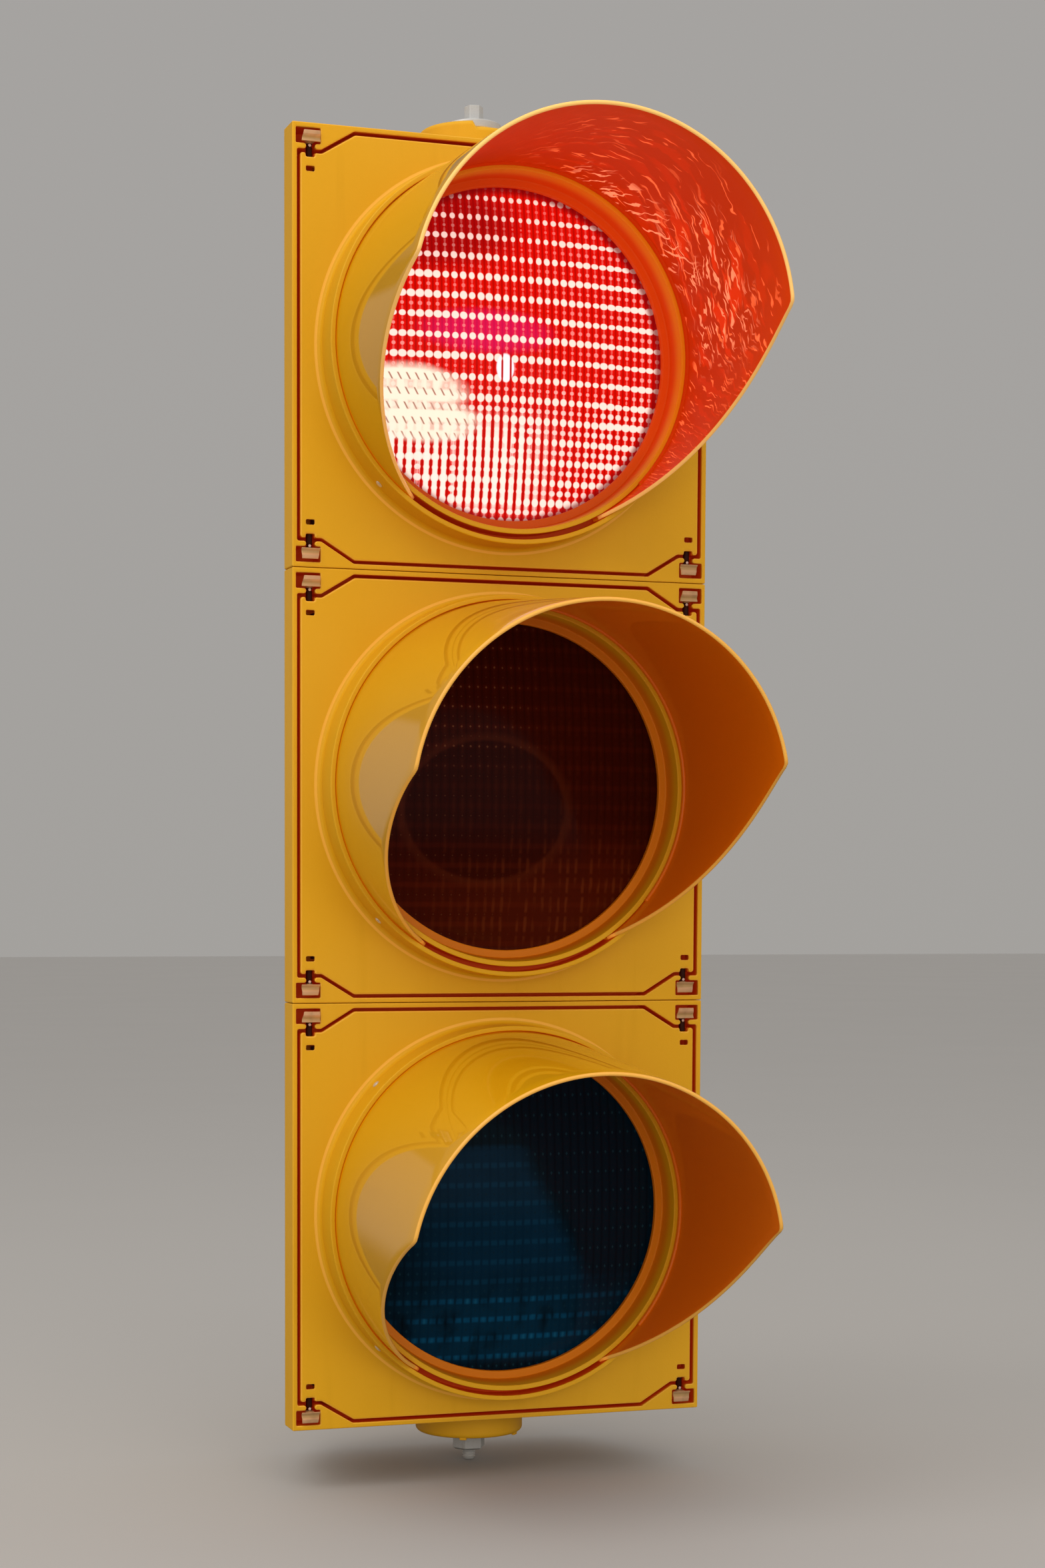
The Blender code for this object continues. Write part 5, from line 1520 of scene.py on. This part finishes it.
class SIGNAL_OT_optics(bpy.types.Operator):
    """Build the reflectors, their holders, the sockets and the lamps"""
    bl_idname = "signal.optics"
    bl_label = "Reflectors and lamps"

    def execute(self, context):
        scene = context.scene
        rise = scene.signal_door.ring_rise
        bright = zinc_plate()
        silver = finish_of("bright aluminium", mirror)
        china = finish_of("white ceramic", lambda: plain_moulding("white ceramic", (0.80, 0.78, 0.73), 0.28))
        for colour in COLOURS:
            centre = section_centre(colour) + Vector((0, 0, rise))
            back = 16.7 * MM
            holder = ring_section(((101 * MM, back - 2.5 * MM), (117 * MM, back - 2.5 * MM), (117 * MM, back),
                                   (101 * MM, back)), 0.6 * MM)
            for i in range(4):
                lug = block((-8 * MM, back - 3.6 * MM, 108 * MM), (8 * MM, back - 0.4 * MM, 116.2 * MM), 0.8 * MM, 3)
                add_to(holder, lug, Matrix.Rotation(math.radians(45 + 90 * i), 4, "Y"))
            finish_piece("reflector_holder_" + colour + "_ring", holder, bright, "head",
                         ["reflector_holder_" + colour], centre)
            front, sheet = 17 * MM, 1.2 * MM
            depth = BOWL_END - front - sheet
            bowl = []
            for i in range(25):
                radius = BOWL_MOUTH - (BOWL_MOUTH - BOWL_NECK) * i / 24
                share = (radius ** 2 - BOWL_NECK ** 2) / (BOWL_MOUTH ** 2 - BOWL_NECK ** 2)
                bowl.append((radius, front + sheet + depth * (1 - share)))
            profile = [(104 * MM, front + 0.3 * MM), (103.7 * MM, front + sheet)]
            profile += [(radius + sheet, along) for radius, along in bowl]
            profile += [(radius, along - sheet) for radius, along in reversed(bowl)] + [(103.7 * MM, front)]
            finish_piece("reflector_" + colour + "_bowl", spun(profile, "Y", 96), silver, "head",
                         ["reflector_" + colour], centre, sharp=50.0)
            bore = 13.6 * MM
            socket = ring_section((
                (bore, 80 * MM), (20 * MM, 80 * MM), (20 * MM, 85.5 * MM), (30 * MM, 85.5 * MM), (30 * MM, 88 * MM),
                (20 * MM, 88 * MM), (20 * MM, 110 * MM), (4 * MM, 110 * MM), (4 * MM, 107 * MM), (bore, 107 * MM)),
                0.7 * MM, 72)
            finish_piece("lamp_socket_" + colour + "_ceramic", socket, china, "head",
                         ["lamp_socket_" + colour], centre)
            lit = colour == "red"
            glass = finish_of("lit lamp glass" if lit else "lamp glass", lambda lit=lit: lamp_glass(lit))
            bulb = [(BULB_RADIUS * math.sin(turn), BULB_MIDDLE - BULB_RADIUS * math.cos(turn))
                    for turn in map(math.radians, range(0, 141, 7))]
            neck = [(15 * MM, 75.5 * MM), (13.2 * MM, 79 * MM)]
            thread = []
            for i in range(6):
                level = (82 + 3.4 * i) * MM
                thread += [(12.2 * MM, level), (13 * MM, level + 1.1 * MM), (13 * MM, level + 1.9 * MM)]
            lamp = spun(bulb + neck + thread + [(12.2 * MM, 103 * MM), (6 * MM, 105.5 * MM), (0.0, 106 * MM)], "Y",
                        64, closed=False)
            finish_piece("lamp_" + colour + "_bulb", lamp, glass, "head", ["lamp_" + colour], centre)
        return {"FINISHED"}


class SIGNAL_OT_inside(bpy.types.Operator):
    """Finish the frame's own gaskets, plates, couplers, terminal block and wiring"""
    bl_idname = "signal.inside"
    bl_label = "Inside fittings"

    def execute(self, context):
        black = black_rubber()
        bright = zinc_plate()
        phenolic = plain_moulding("black phenolic", (0.022, 0.021, 0.020), 0.38, 900.0, 0.6)
        jacket = plain_moulding("cable jacket", (0.024, 0.024, 0.027), 0.48, 1200.0, 0.7)
        finishes = {"door_gasket": black, "coupler": bright, "plate": bright, "terminal": phenolic, "loom": jacket}
        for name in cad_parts:
            for word, skin in finishes.items():
                item = bpy.data.objects.get(name)
                if word in name and item is not None:
                    for holder in item.material_slots:
                        holder.material = skin
        return {"FINISHED"}


class Sky(Finish):
    """A world's light, built the same way as a finish."""

    def __init__(self, scene, name):
        world = bpy.data.worlds.new(name)
        scene.world = world
        world.use_nodes = True
        self.tree = world.node_tree
        self.shader = self.tree.nodes["Background"]
        self.coordinates = self.node("ShaderNodeTexCoord")


def daylight(scene):
    """An overcast dome. The gloss mirrors a darker one: a pale band at eye level under roofs and sky."""
    sky = Sky(scene, "soft daylight")
    z = sky.node("ShaderNodeSeparateXYZ", {}, {0: sky.coordinates}, "Z")
    path = sky.tree.nodes.new("ShaderNodeLightPath")
    seen, glossy = Link(sky, path.outputs["Is Camera Ray"]), Link(sky, path.outputs["Is Glossy Ray"])
    dome = sky.mix(z.rise(-0.1, 0.9), (0.60, 0.57, 0.54), (1.0, 0.98, 0.95))
    roofs = sky.mix(z.rise(0.30, 0.33), (0.050, 0.045, 0.040), (0.16, 0.155, 0.15))
    roofs = sky.mix(z.rise(0.62, 0.66), roofs, (0.34, 0.33, 0.32))
    ground = sky.mix(z.rise(-0.16, -0.06), (0.06, 0.055, 0.045), (0.32, 0.31, 0.295))
    mirrored = sky.mix(z.rise(0.24, 0.27), ground, roofs)
    behind = sky.mix(z.rise(-0.05, 0.25), (0.42, 0.405, 0.385), (0.43, 0.415, 0.40))
    sky.set(Color=sky.mix(seen, sky.mix(glossy, dome, mirrored), behind))
    sky.set(Strength=0.88)


# Name, place, width, height, power, tone, and whether it shines in the gloss
LIGHTS = (
    ("overhead", (-0.6, -1.2, 2.3), 2.4, 1.6, 21.0, (1.0, 0.96, 0.90), False),
    ("front fill", (-0.3, -2.6, 0.56), 2.8, 1.0, 20.0, (1.0, 0.98, 0.94), False),
    ("side card", (-2.3, -0.7, 2.5), 1.1, 2.3, 14.0, (1.0, 0.97, 0.93), True),
)
CAMERA_PLACE = (-0.52295, -1.65063, 0.34141)
CAMERA_DEGREES = (86.164, -0.289, -18.642)
CAMERA_LENS = 95.77
CAMERA_RISE = 0.2756
FLOOR_GAP = 0.5 * MM


class SIGNAL_OT_stage(bpy.types.Operator):
    """Make the pale floor, the soft studio light and the camera"""
    bl_idname = "signal.stage"
    bl_label = "Stage"

    def execute(self, context):
        scene = context.scene
        shape = bmesh.new()
        bmesh.ops.create_grid(shape, x_segments=2, y_segments=2, size=12.0)
        bmesh.ops.translate(shape, verts=shape.verts, vec=(0, 0, CAD_BOUNDS[0][2] - FLOOR_GAP))
        mesh = bpy.data.meshes.new("floor")
        shape.to_mesh(mesh)
        shape.free()
        finish = Finish("pale floor")
        tone = tuple(scene.signal_finish.floor)
        grain = finish.noise(3.0, 2.0)
        finish.set(Base_Color=finish.mix(grain, tone, darker(tone, 0.96)), Roughness=0.75 + 0.1 * grain)
        mesh.materials.append(finish.material)
        floor = bpy.data.objects.new("floor", mesh)
        scene.collection.objects.link(floor)
        floor.visible_glossy = False

        daylight(scene)

        middle = section_centre("amber")
        for name, place, width, height, power, tone, shines in LIGHTS:
            data = bpy.data.lights.new(name, "AREA")
            data.shape = "RECTANGLE"
            data.size, data.size_y, data.energy, data.color = width, height, power, tone
            lamp = bpy.data.objects.new(name, data)
            lamp.location = place
            lamp.visible_glossy = shines
            lamp.rotation_euler = (middle - Vector(place)).to_track_quat("-Z", "Y").to_euler()
            scene.collection.objects.link(lamp)

        view = bpy.data.cameras.new("camera")
        view.sensor_fit, view.sensor_width, view.lens = "HORIZONTAL", 36.0, CAMERA_LENS
        view.shift_y = CAMERA_RISE
        camera = bpy.data.objects.new("camera", view)
        camera.location = CAMERA_PLACE
        camera.rotation_euler = tuple(math.radians(turn) for turn in CAMERA_DEGREES)
        scene.collection.objects.link(camera)
        scene.camera = camera
        scene.view_settings.view_transform = "Standard"
        return {"FINISHED"}


class SIGNAL_PT_panel(bpy.types.Panel):
    """Lists the head's sizes, colours and pieces"""
    bl_idname = "SIGNAL_PT_panel"
    bl_label = "Traffic Signal Head"
    bl_space_type = "VIEW_3D"
    bl_region_type = "UI"
    bl_category = "Signal"

    def draw(self, context):
        layout = self.layout
        for group in (context.scene.signal_housing, context.scene.signal_door, context.scene.signal_visor,
                      context.scene.signal_lens, context.scene.signal_finish):
            column = layout.column(align=True)
            for name in group.bl_rna.properties.keys():
                if name not in ("rna_type", "name"):
                    column.prop(group, name)
        for operator in OPERATORS:
            layout.operator(operator.bl_idname)


GROUPS = (
    ("signal_housing", SignalHousingSettings), ("signal_door", SignalDoorSettings),
    ("signal_visor", SignalVisorSettings), ("signal_lens", SignalLensSettings),
    ("signal_finish", SignalFinishSettings),
)
OPERATORS = (
    SIGNAL_OT_housings, SIGNAL_OT_doors, SIGNAL_OT_visors, SIGNAL_OT_lenses, SIGNAL_OT_latches, SIGNAL_OT_ends,
    SIGNAL_OT_optics, SIGNAL_OT_inside, SIGNAL_OT_stage,
)


def register():
    for name, group in GROUPS:
        bpy.utils.register_class(group)
        setattr(bpy.types.Scene, name, bpy.props.PointerProperty(type=group))
    for operator in OPERATORS:
        bpy.utils.register_class(operator)
    bpy.utils.register_class(SIGNAL_PT_panel)


def unregister():
    bpy.utils.unregister_class(SIGNAL_PT_panel)
    for operator in reversed(OPERATORS):
        bpy.utils.unregister_class(operator)
    for name, group in reversed(GROUPS):
        delattr(bpy.types.Scene, name)
        bpy.utils.unregister_class(group)


def main():
    register()
    for operator in OPERATORS:
        group, name = operator.bl_idname.split(".")
        getattr(getattr(bpy.ops, group), name)()


if __name__ == "__main__":
    main()
